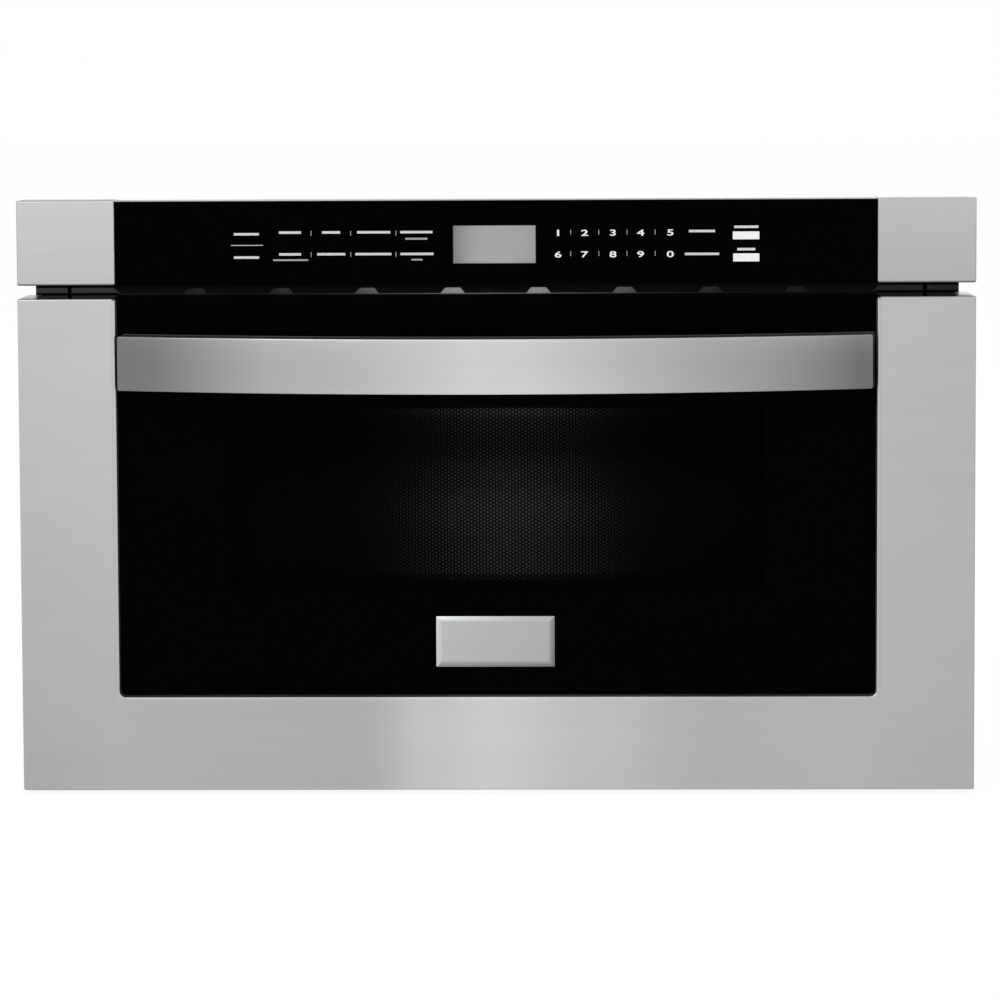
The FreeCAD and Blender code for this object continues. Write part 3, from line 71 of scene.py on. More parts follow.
def roundedLoop(corners, radii, steps=7):
    # an anticlockwise outline turned on an arc at every corner: the arc's centre lies one radius
    # inside both runs, and each point is the centre plus the radius times its direction;
    # also gives the way outwards at each point
    corners = np.array(corners, float)
    radii = np.broadcast_to(np.array(radii, float), len(corners))[:, None]
    before = corners - np.roll(corners, 1, 0)
    before /= np.linalg.norm(before, axis=1)[:, None]
    after = np.roll(before, -1, 0)
    turn = np.arctan2(before[:, 0] * after[:, 1] - before[:, 1] * after[:, 0],
                      (before * after).sum(1))[:, None]
    side = np.sign(turn)
    left = np.stack([-before[:, 1], before[:, 0]], 1)
    centre = corners - before * radii * np.tan(abs(turn) / 2) + left * side * radii
    start = np.arctan2(-left[:, 1:] * side, -left[:, :1] * side)
    angle = start + turn * np.linspace(0, 1, steps)
    arm = np.stack([np.cos(angle), np.sin(angle)], -1)
    points = centre[:, None] + radii[:, None] * arm
    return points.reshape(-1, 2), (arm * side[:, None]).reshape(-1, 2)


def foldedSheet(corners, radii, bend, frontY, backY, steps=7):
    # a sheet's face whose edge turns back on a quarter circle all round: the outline moves out with
    # the angle's sine and back with one less its cosine, and then runs straight to the back; the
    # bend's radius is one for all corners or one for each
    line, outward = roundedLoop(corners, radii)
    bend = np.repeat(np.broadcast_to(bend, len(corners)), len(line) // len(corners))[None]
    angle = np.linspace(0, math.pi / 2, steps)[:, None]
    out = np.concatenate([bend * (np.sin(angle) - 1), 0 * bend])
    depth = np.concatenate([frontY + bend * (1 - np.cos(angle)), backY + 0 * bend])
    rows = line[None] + out[..., None] * outward[None]
    points = np.stack([rows[..., 0], depth, rows[..., 1]], -1).reshape(-1, 3)
    return points, [list(range(len(line)))[::-1]] + gridFaces(len(out), len(line), wrap=True)


def joined(*parts):
    # several point and face lists as one
    points, faces, count = [], [], 0
    for somePoints, someFaces in parts:
        points.append(np.asarray(somePoints, float))
        faces += [[index + count for index in face] for face in someFaces]
        count += len(somePoints)
    return np.concatenate(points), faces


def block(low, high):
    # eight corners and six sides
    corners = np.array([[x, y, z] for x in (low[0], high[0]) for y in (low[1], high[1])
                        for z in (low[2], high[2])], float)
    return corners, [[0, 1, 3, 2], [4, 6, 7, 5], [0, 4, 5, 1], [2, 3, 7, 6], [0, 2, 6, 4], [1, 5, 7, 3]]


def makePiece(name, shape, finish, body, stands=(), sharp=40, turnOut=True, weld=1e-6):
    # an object of the shape's points and faces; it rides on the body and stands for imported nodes
    points, faces = shape
    mesh = bpy.data.meshes.new(name)
    mesh.from_pydata(np.asarray(points, float).tolist(), [], faces)
    work = bmesh.new()
    work.from_mesh(mesh)
    bmesh.ops.remove_doubles(work, verts=work.verts, dist=weld)
    if turnOut:
        bmesh.ops.recalc_face_normals(work, faces=work.faces)
    work.to_mesh(mesh)
    work.free()
    mesh.shade_smooth()
    mesh.set_sharp_from_angle(angle=math.radians(sharp))
    mesh.materials.append(finish)
    piece = bpy.data.objects.new(name, mesh)
    bpy.context.scene.collection.objects.link(piece)
    if stands:
        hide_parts(*stands)
    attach(piece, body)
    return piece


def addModifier(piece, kind, **values):
    modifier = piece.modifiers.new(kind.title(), kind)
    for key, value in values.items():
        setattr(modifier, key, value)


def thicken(piece, sheet):
    # gives a folded face the sheet's thickness, inwards
    addModifier(piece, "SOLIDIFY", thickness=sheet, offset=-1.0, use_even_offset=True)
    addModifier(piece, "WEIGHTED_NORMAL", weight=100, keep_sharp=True)


rootHalf = 0.7071


class Wire:
    # a shader socket that works in sums: each operator adds a Math node
    def __init__(self, book, socket):
        self.book, self.socket = book, socket

    def math(self, operation, *others):
        values = dict(enumerate((self,) + others))
        return self.book.add("ShaderNodeMath", {"operation": operation}, values)

    def __add__(self, other):
        return self.math("ADD", other)

    def __sub__(self, other):
        return self.math("SUBTRACT", other)

    def __rsub__(self, other):
        return self.book.add("ShaderNodeMath", {"operation": "SUBTRACT"}, {0: other, 1: self})

    def __mul__(self, other):
        return self.math("MULTIPLY", other)

    def __neg__(self):
        return self.math("MULTIPLY", -1.0)

    def __abs__(self):
        return self.math("ABSOLUTE")

    __radd__, __rmul__ = __add__, __mul__

    def over(self, limit, softness=1e-5):
        # 1 above the limit, 0 below it, with a soft step between
        return self.book.add("ShaderNodeMapRange", {},
                             {0: self, 1: limit - softness, 2: limit + softness, 3: 0.0, 4: 1.0})

    def bell(self, middle, spread):
        # 1 at the middle, falling off as e to the minus half square of the distance in spreads
        far = (self - middle) * (rootHalf / spread)
        return (-(far * far)).math("EXPONENT")

    def positive(self):
        return self.math("MAXIMUM", 0.0)


class Finish:
    # one material or world, written node by node
    def __init__(self, name, owner=None):
        self.owner = owner or bpy.data.materials.new(name)
        self.owner.use_nodes = True
        self.tree = self.owner.node_tree
        self.tree.nodes.clear()

    def add(self, kind, settings, values, output=0):
        node = self.tree.nodes.new(kind)
        for key, value in settings.items():
            setattr(node, key, value)
        for key, value in values.items():
            if isinstance(value, Wire):
                self.tree.links.new(value.socket, node.inputs[key])
            else:
                node.inputs[key].default_value = value
        return Wire(self, node.outputs[output])

    def place(self):
        return self.add("ShaderNodeTexCoord", {}, {}, "Object")

    def split(self, vector, names):
        return [self.add("ShaderNodeSeparateXYZ", {}, {0: vector}, name) for name in names]

    def axes(self, names):
        # the place along each of the named axes
        return self.split(self.place(), names)

    def facing(self, names):
        # the way the surface faces, along each of the named axes
        return self.split(self.add("ShaderNodeNewGeometry", {}, {}, "Normal"), names)

    def scaled(self, scale):
        # places stretched by one factor, or by one each along x, y and z
        factors = scale if isinstance(scale, tuple) else (scale,) * 3
        return self.add("ShaderNodeMapping", {}, {"Vector": self.place(), "Scale": factors})

    def noise(self, scale, detail=2.0, rough=0.5):
        # soft grain with so many waves per metre
        return self.add("ShaderNodeTexNoise", {}, {"Vector": self.scaled(scale), "Scale": 1.0,
                                                   "Detail": detail, "Roughness": rough}, "Fac")

    def cells(self, scale, output="Distance", feature="F1"):
        return self.add("ShaderNodeTexVoronoi", {"feature": feature},
                        {"Vector": self.scaled(scale), "Scale": 1.0}, output)

    def mix(self, mask, first, second):
        # first where the mask is 0, second where it is 1; a plain colour is red, green and blue
        pair = [colour if isinstance(colour, Wire) else tuple(colour) + (1.0,)
                for colour in (first, second)]
        return self.add("ShaderNodeMix", {"data_type": "RGBA"}, {0: mask, 6: pair[0], 7: pair[1]}, 2)

    def ramp(self, value, levels, blend="EASE"):
        # greys read on a screen, each at its place between 0 and 1
        wire = self.add("ShaderNodeValToRGB", {}, {0: value}, 0)
        ramp = wire.socket.node.color_ramp
        while len(ramp.elements) < len(levels):
            ramp.elements.new(0.5)
        for element, (position, level) in zip(ramp.elements, levels):
            element.position, element.color = position, grey(level)
        ramp.interpolation = blend
        return wire

    def channel(self, colour, name="Green"):
        return self.add("ShaderNodeSeparateColor", {}, {0: colour}, name)

    def tinted(self, value, tint):
        # a colour times a number
        return self.add("ShaderNodeVectorMath", {"operation": "SCALE"}, {0: tint, "Scale": value}, 0)

    def bump(self, height, distance, strength):
        return self.add("ShaderNodeBump", {}, {"Height": height, "Distance": distance,
                                               "Strength": strength}, "Normal")

    def coat(self, **values):
        # the surface itself: a Principled shader with these values, and its output
        names = {"colour": "Base Color", "rough": "Roughness", "metal": "Metallic", "alpha": "Alpha",
                 "glow": "Emission Color", "glowStrength": "Emission Strength", "normal": "Normal",
                 "gloss": "Specular IOR Level", "clear": "Coat Weight", "clearRough": "Coat Roughness"}
        shader = self.add("ShaderNodeBsdfPrincipled", {}, {names[k]: v for k, v in values.items()}, "BSDF")
        return self.close(shader, "ShaderNodeOutputMaterial")

    def close(self, shader, kind):
        output = self.tree.nodes.new(kind)
        self.tree.links.new(shader.socket, output.inputs["Surface"])
        return self.owner

    def seenRays(self):
        # 1 for what the camera, a gloss or a glass sees, 0 for light on a matt surface
        first, *others = [self.add("ShaderNodeLightPath", {}, {}, name)
                          for name in ("Is Camera Ray", "Is Glossy Ray", "Is Transmission Ray")]
        return sum(others, first)


frameLow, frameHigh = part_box("drawer_frame")
panelLow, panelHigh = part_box("control_fascia")

steelSpec = {"lines": (12.0, 60.0, 1150.0), "broad": (2.0, 20.0, 90.0),      # waves per metre
             "base": 0.915, "lineShade": 0.12, "broadShade": 0.05,
             "rough": 0.30, "lineRough": 0.12, "polished": 0.24, "relief": 0.00002, "reliefShare": 0.6}


def steelSurface(finish, tone, polish=0.0):
    # fine lines along x over the given tone, in colour, roughness and relief
    spec = steelSpec
    lines = finish.noise(spec["lines"], 3.0, 0.65)
    broad = finish.noise(spec["broad"])
    shade = tone * (spec["base"] + lines * spec["lineShade"] + broad * spec["broadShade"])
    return finish.coat(colour=finish.tinted(shade, steelTint), metal=1.0,
                       rough=spec["rough"] + lines * spec["lineRough"] - polish * spec["polished"],
                       normal=finish.bump(lines, spec["relief"], spec["reliefShare"]))


def paintedFacingLight(finish, tone, top=0.24, under=-0.20, left=0.06, right=-0.22):
    # painted light and shade: the studio's soft side light, painted into the tone by the way a face is
    # turned:
    # each value is what a face turned that way gains on the tone
    faceX, faceZ = finish.facing("XZ")
    lift = faceZ.positive() * top + (-faceZ).positive() * under
    lift = lift + (-faceX).positive() * left + faceX.positive() * right
    return tone * (1.0 + lift)


# an edge is where it lies and how soft it is; a bell is its middle and its spread
# these values set painted light and shade on the drawer front's steel
drawerSteelSpec = {
    "foot": 0.06, "span": 0.25,                   # heights over which the stiles get lighter
    "stile": 0.444, "stileRise": 0.095, "rightShadeLoss": 0.012, "rightShadeLossRise": 0.048,
    "stileMiddle": 0.272, "inwards": 0.28, "stileEdge": (0.237, 0.004), "rightEdge": (0.0, 0.2),
    "rail": ((0.0, 178), (0.36, 174), (0.435, 195), (0.49, 202), (0.60, 189), (0.72, 176), (0.86, 178)),
    "railScale": 1.6,
    "lipEdge": (0.0608, 0.0010), "openingEdge": (0.2424, 0.0004), "lipHighlightGain": 0.05,
    "seamBell": (0.2432, 0.0006), "seamEdge": (0.067, 0.003), "seamShadeLoss": 0.07,
    "topDepth": 0.0009, "topSoft": 0.0002, "bendEdge": (0.0012, 0.0006), "bendShare": 0.42,
    "flatGain": 0.10, "endEdge": (0.2905, 0.0006), "endRightEdge": (0.0, 0.1),
    "endBendEdge": (0.0014, 0.0003), "endBend": 0.42, "endBendRight": 0.14, "endFlatRight": 0.38,
    "notchDepth": 0.0015, "notchSoft": 0.0003, "notchBell": (0.2422, 0.0006), "notchShadeLoss": 0.9}


def drawerSteel():
    finish = Finish("drawer front steel")
    spec = drawerSteelSpec
    x, y, z = finish.axes("XYZ")
    # painted light and shade: the stiles get lighter towards the top and towards the opening, and are
    # lighter on the left;
    # the rail takes a painted band of reflected light from its ramp
    height = (z - spec["foot"]) * (1 / spec["span"])
    stile = spec["stile"] + height * spec["stileRise"]
    stile = stile - x.over(*spec["rightEdge"]) * (spec["rightShadeLoss"] + height * spec["rightShadeLossRise"])
    paintedRailSheen = finish.channel(finish.ramp(x * spec["railScale"] + 0.5, spec["rail"]))
    reach = abs(x)
    onStile = reach.over(*spec["stileEdge"])
    tone = paintedRailSheen * (1.0 - onStile) + (stile + (spec["stileMiddle"] - reach) * spec["inwards"]) * onStile
    # the bend round the opening: a painted highlight along the rail, a faint painted shade line down each
    # stile
    lip = z.over(*spec["lipEdge"]) * (1.0 - reach.over(*spec["openingEdge"]))
    paintedSeamShade = reach.bell(*spec["seamBell"]) * z.over(*spec["seamEdge"])
    tone = tone * (1.0 + lip * spec["lipHighlightGain"] - paintedSeamShade * spec["seamShadeLoss"])
    # the folded tops are polished, and painted shade darkens them as if, closed, they mirrored the dark
    # gap;
    # past the flange their ends are lighter, with painted shade on their bend, and on the right on their
    # flat too
    back = y - frameLow.y
    flat = back.over(*spec["bendEdge"])
    behindBend = back.over(*spec["endBendEdge"])
    onTop = z.over(frameHigh.z - spec["topDepth"], spec["topSoft"])
    onEnd = reach.over(*spec["endEdge"])
    right = x.over(*spec["endRightEdge"])
    paintedEndShade = ((spec["endBend"] - right * spec["endBendRight"]) * (1.0 - behindBend)
               + right * behindBend * spec["endFlatRight"])
    shaded = onTop * (1.0 - onEnd)
    tone = tone * (1.0 - onEnd * onTop * paintedEndShade)
    # a painted dark notch at the tops' inner ends by the opening
    paintedNotchShade = z.over(frameHigh.z - spec["notchDepth"], spec["notchSoft"]) * reach.bell(*spec["notchBell"])
    tone = tone * (1.0 - shaded * (1.0 - (spec["bendShare"] + flat * spec["flatGain"])))
    tone = tone * (1.0 - paintedNotchShade * spec["notchShadeLoss"])
    # painted light and shade on each face by the way it is turned
    return steelSurface(finish, paintedFacingLight(finish, tone, top=0.12), polish=shaded * flat)


# these values set painted light and shade on the panel's end blocks
panelSteelSpec = {"tone": 0.545, "middle": 0.352, "rise": 1.1, "rightShadeLoss": 0.075, "rightEdge": (0.0, 0.2),
                  "inset": 0.0011, "footSoft": 0.0005, "footShadeShare": 0.5, "browSoft": 0.0004,
                  "browShadeLoss": 0.30}


def panelSteel():
    # painted light and shade: lighter towards the top, darker to the right, a painted shaded bend at the
    # foot, a painted darker brow on the left, and light and shade by the way each face is turned
    finish = Finish("panel block steel")
    spec = panelSteelSpec
    x, z = finish.axes("XZ")
    right = x.over(*spec["rightEdge"])
    tone = spec["tone"] + (z - spec["middle"]) * spec["rise"] - right * spec["rightShadeLoss"]
    foot = z.over(panelLow.z + spec["inset"], spec["footSoft"])
    paintedBrowShade = z.over(panelHigh.z - spec["inset"], spec["browSoft"]) * (1.0 - right)
    tone = tone * (1.0 - paintedBrowShade * spec["browShadeLoss"]) * (spec["footShadeShare"] + foot * (1 - spec["footShadeShare"]))
    return steelSurface(finish, paintedFacingLight(finish, tone, top=-0.25, under=-0.65, left=-0.15, right=-0.35))


# these values set the handle's painted reflection and shade
handleSteelSpec = {
    "along": ((0.03, 117), (0.06, 121), (0.146, 151), (0.21, 169), (0.34, 182), (0.47, 203), (0.54, 202),
              (0.66, 184), (0.73, 172), (0.86, 149), (0.93, 129), (0.97, 112)),
    "alongScale": 2.05, "middle": 0.2767, "fall": 4.6, "topEdge": (0.2919, 0.0006),
    "topHighlightGain": 0.07}


def handleSteel():
    # painted reflection and shade: a band of reflected light along the handle from the ramp, darker towards
    # the top and lighter towards the foot, a painted highlight along the top edge, and light by the way
    # each face is turned
    finish = Finish("handle steel")
    spec = handleSteelSpec
    x, z = finish.axes("XZ")
    tone = finish.channel(finish.ramp(x * spec["alongScale"] + 0.5, spec["along"], "LINEAR"))
    tone = tone * (1.0 - (z - spec["middle"]) * spec["fall"])
    tone = tone * (1.0 + z.over(*spec["topEdge"]) * spec["topHighlightGain"])
    return steelSurface(finish, paintedFacingLight(finish, tone, top=0.7))


def badgeMetal(tone=0.425, across=0.7):
    # blasted metal, painted a little lighter to the left, with painted light and shade on its bevels by the
    # way each is turned
    finish = Finish("badge metal")
    grain = finish.noise(900.0, 4.0, 0.7)
    [x] = finish.axes("X")
    shade = paintedFacingLight(finish, tone - x * across + grain * 0.05, top=-0.10, under=-0.85, left=0.75,
                      right=-1.1)
    return finish.coat(colour=finish.tinted(shade, steelTint), metal=1.0, rough=0.34 + grain * 0.2,
                       normal=finish.bump(grain, 0.00003, 0.5))


def windowMask(finish, low, high, soft=0.0002):
    # 1 inside the rectangle low to high across x and z
    x, z = finish.axes("XZ")
    across = x.over(low[0], soft) * (1.0 - x.over(high[0], soft))
    return across * z.over(low[1], soft) * (1.0 - z.over(high[1], soft))


def blackGlass(name, low, high, clearness):
    # glass printed black behind, left clear in one rectangle; its upper edge is ground
    finish = Finish(name)
    smear = finish.noise((9.0, 9.0, 14.0), 3.0, 0.6)
    edge = finish.facing("Z")[0].over(0.6, 0.1)
    clear = windowMask(finish, low, high)
    return finish.coat(colour=finish.mix(smear, (0.0002, 0.0002, 0.0003), (0.0004, 0.0004, 0.0005)),
                       rough=0.04 + smear * 0.05 + edge * 0.5, gloss=0.009, alpha=1.0 - clear * clearness)


def mouldedPlastic(name, colour, rough=0.45, gloss=0.4, grainSize=2600.0, darkest=0.78):
    # fine leather grain over soft clouds, from the colour down to its darkest share
    finish = Finish(name)
    grain = finish.noise(grainSize, 2.0, 0.6)
    cloud = finish.noise(18.0, 3.0, 0.5)
    darker = tuple(c * darkest for c in colour)
    return finish.coat(colour=finish.mix(cloud * 0.6 + grain * 0.3, darker, colour),
                       rough=rough - 0.06 + cloud * 0.12, gloss=gloss,
                       normal=finish.bump(grain, 0.00006, 0.5))


def zincSheet(tone=0.40):
    # galvanised sheet: large dull crystals over fine rolling lines, with painted shade on faces turned up,
    # down or to the right
    finish = Finish("zinc sheet")
    crystal = finish.channel(finish.cells(95.0, "Color"), "Red")
    rolled = finish.noise((25.0, 400.0, 1100.0), 3.0, 0.6)
    shade = paintedFacingLight(finish, tone + crystal * 0.07 + rolled * 0.05, top=-0.12, under=-0.2, right=-0.1)
    return finish.coat(colour=finish.tinted(shade, (0.97, 1.0, 1.03)), metal=0.7,
                       rough=0.46 + crystal * 0.12, normal=finish.bump(rolled, 0.00003, 0.4))


def enamel():
    # grey enamel with dark specks
    finish = Finish("grey enamel")
    speck = finish.cells(620.0).over(0.16, 0.03)
    cloud = finish.noise(7.0, 3.0, 0.5)
    ground = finish.mix(cloud, (0.27, 0.28, 0.29), (0.33, 0.34, 0.35))
    return finish.coat(colour=finish.mix(speck, (0.10, 0.105, 0.11), ground), rough=0.22 + cloud * 0.08,
                       gloss=0.5, clear=0.3, clearRough=0.08)


def rubber():
    finish = Finish("gasket rubber")
    grain = finish.noise(1500.0, 3.0, 0.6)
    return finish.coat(colour=finish.mix(grain, (0.012,) * 3, (0.03,) * 3), rough=0.72 + grain * 0.15,
                       gloss=0.3, normal=finish.bump(grain, 0.0001, 0.5))


def darkPaint(name, level=0.012, gloss=0.25):
    finish = Finish(name)
    peel = finish.noise(420.0)
    return finish.coat(colour=finish.mix(peel, (level * 0.7,) * 3, (level * 1.4,) * 3),
                       rough=0.4 + peel * 0.15, gloss=gloss, normal=finish.bump(peel, 0.00005, 0.4))


# these values set the flange's painted light and painted shadow
flangeSpec = {
    "stripEdge": (0.3185, 0.0004), "lowEdge": (0.3140, 0.0004), "footEdge": (0.3200, 0.0003),
    "topEdge": (0.3232, 0.0003), "besideEdge": (0.2425, 0.0005), "rightEdge": (0.0, 0.28),
    "paleBell": (-0.002, 0.052), "behindNotches": 0.45, "rough": 0.5, "roughPeel": 0.1, "polished": 0.35,
    "left": ((0.033, 0.034, 0.036), (0.041, 0.042, 0.044)),
    "right": ((0.018, 0.018, 0.019), (0.022, 0.022, 0.023)),
    "pale": (0.30, 0.305, 0.31), "shadow": (0.001, 0.001, 0.001)}


def flangePaint():
    # dark grey paint, darker to the right as painted shade; the bare strip behind the panel's notches takes
    # painted light, paler towards the middle, and a painted shadow darkens the flange under the panel, over
    # the drawer's tops and in part behind the notches
    finish = Finish("flange paint")
    spec = flangeSpec
    x, z = finish.axes("XZ")
    peel = finish.noise(420.0)
    strip = z.over(*spec["stripEdge"])
    pale = x.bell(*spec["paleBell"]) * strip
    low = z.over(*spec["lowEdge"])
    paintedGapShadow = z.over(*spec["topEdge"]) + low * (1.0 - z.over(*spec["footEdge"]))
    beside = abs(x).over(*spec["besideEdge"])
    shadow = paintedGapShadow * beside + (1.0 - beside) * (strip * spec["behindNotches"] + low * (1.0 - strip))
    dark = finish.mix(x.over(*spec["rightEdge"]), finish.mix(peel, *spec["left"]),
                      finish.mix(peel, *spec["right"]))
    dark = finish.mix(shadow, dark, spec["shadow"])
    return finish.coat(colour=finish.mix(pale, dark, spec["pale"]), metal=strip, gloss=0.15,
                       rough=spec["rough"] + peel * spec["roughPeel"] - strip * spec["polished"],
                       normal=finish.bump(peel, 0.00004, 0.4))


def anodisedCore():
    finish = Finish("dark anodised bar")
    grain = finish.noise((14.0, 300.0, 1500.0), 3.0, 0.6)
    return finish.coat(colour=finish.mix(grain, (0.008, 0.008, 0.009), (0.02, 0.02, 0.022)),
                       metal=0.3, rough=0.38 + grain * 0.15, gloss=0.3)


def glassCeramic():
    finish = Finish("glass ceramic tray")
    cloud = finish.noise(30.0, 4.0, 0.6)
    speck = finish.cells(900.0).over(0.14, 0.05)
    ground = finish.mix(cloud, (0.70, 0.69, 0.66), (0.78, 0.77, 0.74))
    return finish.coat(colour=finish.mix(speck, (0.45, 0.44, 0.42), ground), rough=0.12 + cloud * 0.08,
                       gloss=0.5, clear=0.4, clearRough=0.05)


def mica():
    finish = Finish("mica sheet")
    flake = finish.channel(finish.cells(260.0, "Color"), "Red")
    return finish.coat(colour=finish.mix(flake, (0.40, 0.34, 0.25), (0.58, 0.52, 0.42)),
                       rough=0.3 + flake * 0.2, gloss=0.5, normal=finish.bump(flake, 0.00008, 0.5))


displaySpec = {"half": 0.027,
               "along": ((0.0, 115), (0.036, 121), (0.142, 138), (0.212, 148), (0.283, 152), (0.37, 155),
                         (0.6, 156), (0.78, 153), (1.0, 146))}


def litDisplay():
    # the display shines a pale grey, weaker at its left end
    finish = Finish("lit display")
    half = displaySpec["half"]
    [x] = finish.axes("X")
    grain = finish.noise(3000.0, 1.0, 0.5)
    glow = finish.ramp((x + half) * (1 / (2 * half)), displaySpec["along"], "LINEAR")
    return finish.coat(colour=finish.mix(grain, (0.02,) * 3, (0.03,) * 3), rough=0.3, glow=glow,
                       glowStrength=1.0)


def circuitBoard():
    # green board with a copper pattern under the varnish
    finish = Finish("circuit board")
    track = finish.cells(170.0, "Distance", "DISTANCE_TO_EDGE").over(0.09, 0.02)
    weave = finish.noise(900.0)
    ground = finish.mix(weave, (0.012, 0.07, 0.03), (0.018, 0.09, 0.04))
    return finish.coat(colour=finish.mix(track, (0.03, 0.13, 0.06), ground), rough=0.28 + weave * 0.1,
                       gloss=0.5, normal=finish.bump(track, 0.00004, 0.4))


def copperWinding():
    # enamelled wire laid turn by turn round the core
    finish = Finish("copper winding")
    wires = finish.add("ShaderNodeTexWave", {"bands_direction": "Z"},
                       {"Vector": finish.place(), "Scale": 260.0, "Distortion": 0.4, "Detail": 1.0}, 0)
    height = finish.channel(wires, "Red")
    return finish.coat(colour=finish.mix(height, (0.22, 0.075, 0.03), (0.62, 0.24, 0.11)), metal=0.85,
                       rough=0.3 + height * 0.1, normal=finish.bump(height, 0.0003, 0.8))


def laminatedIron():
    # stacked thin sheets, seen as fine lines, under clear varnish
    finish = Finish("laminated iron")
    lines = finish.noise((40.0, 1900.0, 40.0), 2.0, 0.6)
    rust = finish.noise(60.0, 4.0, 0.65)
    ground = finish.mix(rust, (0.11, 0.105, 0.10), (0.20, 0.19, 0.185))
    return finish.coat(colour=finish.mix(lines * 0.5, ground, (0.06, 0.055, 0.05)), metal=0.7,
                       rough=0.42 + rust * 0.15, normal=finish.bump(lines, 0.0001, 0.5))


def plainMetal(name, tone, tint, rough, waves=400.0):
    finish = Finish(name)
    grain = finish.noise(waves, 3.0, 0.6)
    # painted light and shade by the way each face is turned
    shade = paintedFacingLight(finish, tone * 0.88 + grain * (tone * 0.24), top=0.12, under=-0.2, right=-0.12)
    return finish.coat(colour=finish.tinted(shade, tint), metal=1.0, rough=rough - 0.06 + grain * 0.14,
                       normal=finish.bump(grain, 0.00003, 0.5))


paintedGlowSpec = {"acrossBell": (0.008, 0.038), "foot": 0.134, "height": 0.112,
            "bands": ((0.0, 30), (0.035, 36), (0.05, 62), (0.2, 64), (0.42, 76), (0.60, 60), (0.78, 40),
                      (0.93, 50), (0.97, 70))}


def paintedGlow(name, strength, spill):
    # painted glow standing in for the lit inside seen through the screen's holes, and painted light on the
    # screen:
    # a soft bell across, and bands down the height
    finish = Finish(name)
    x, z = finish.axes("XZ")
    across = x.bell(*paintedGlowSpec["acrossBell"])
    down = finish.ramp((z - paintedGlowSpec["foot"]) * (1 / paintedGlowSpec["height"]), paintedGlowSpec["bands"])
    return finish.coat(colour=(0.001, 0.001, 0.001, 1), rough=0.6, gloss=0.0,
                       glow=finish.tinted((across + spill) * strength, down), glowStrength=1.0)


screenLow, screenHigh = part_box("window_screen")
glassSpec = {"windowInset": 0.004, "windowFoot": 0.0030, "windowTop": 0.0018, "windowClear": 0.93,
             "displayLow": (-0.0266, 0.3394), "displayHigh": (0.0254, 0.3632), "displayClear": 0.97}
windowLow = (screenLow.x + glassSpec["windowInset"], screenLow.z + glassSpec["windowFoot"])
windowHigh = (screenHigh.x - glassSpec["windowInset"], screenHigh.z - glassSpec["windowTop"])
warmTint = (1.0, 0.99, 0.97)

finishes = {
    "stainless": drawerSteel(),
    "panelSteel": panelSteel(),
    "handleSteel": handleSteel(),
    "doorGlass": blackGlass("drawer glass", windowLow, windowHigh, glassSpec["windowClear"]),
    "panelGlass": blackGlass("panel glass", glassSpec["displayLow"], glassSpec["displayHigh"],
                             glassSpec["displayClear"]),
    "handle_dark": anodisedCore(),
    "handleBack": darkPaint("handle back paint", 0.035),
    "black_plastic": mouldedPlastic("black plastic", (0.012, 0.012, 0.013)),
    "gasket": rubber(),
    "zinc_steel": zincSheet(),
    "cavity_enamel": enamel(),
    "screen_dark": darkPaint("dark screen", 0.0008, 0.0),
    "flange": flangePaint(),
    "skirt": darkPaint("skirt black", 0.002, 0.03),
    "tray_ceramic": glassCeramic(),
    "mica": mica(),
    "display": litDisplay(),
    "board": circuitBoard(),
    "copper": copperWinding(),
    "core_iron": laminatedIron(),
    "aluminium": plainMetal("aluminium", 0.62, (0.99, 1.0, 1.01), 0.34),
    "badge_metal": badgeMetal(),
    "gear_steel": plainMetal("gear steel", 0.46, warmTint, 0.28, 900.0),
    "white_plastic": mouldedPlastic("white plastic", (0.72, 0.72, 0.70), 0.38),
    "screw_metal": plainMetal("screw metal", 0.55, warmTint, 0.24, 700.0),
    # painted glow, not lamps, for the window's film and screen
    "glow": paintedGlow("painted inside glow", 0.55, 0.045),
    "litScreen": paintedGlow("painted screen glow", 0.075, 0.0),
    "ink": mouldedPlastic("white ink", (1.0,) * 3, 0.5),
    "barInk": mouldedPlastic("bar ink", (0.74,) * 3, 0.5),
    "paleInk": mouldedPlastic("pale ink", (0.42,) * 3, 0.5),
}
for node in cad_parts.values():
    slotName = node.data.materials[0].name.split(".")[0]
    if slotName in finishes:
        node.data.materials[0] = finishes[slotName]
for nodeName, finishName in (("door_glass", "doorGlass"), ("control_glass", "panelGlass"),
                             ("front_flange", "flange"), ("vent_skirt", "skirt")):
    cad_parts[nodeName].data.materials[0] = finishes[finishName]
print("finishes given to the packed nodes")


frontSpec = {"bend": 0.0013, "openingBend": 0.0008, "outerCorner": 0.0014, "openingCorner": 0.004,
             "sheet": 0.0007, "openingFloor": 0.063, "rise": 0.0013, "mitre": 0.0025, "glassPlay": 0.0005}


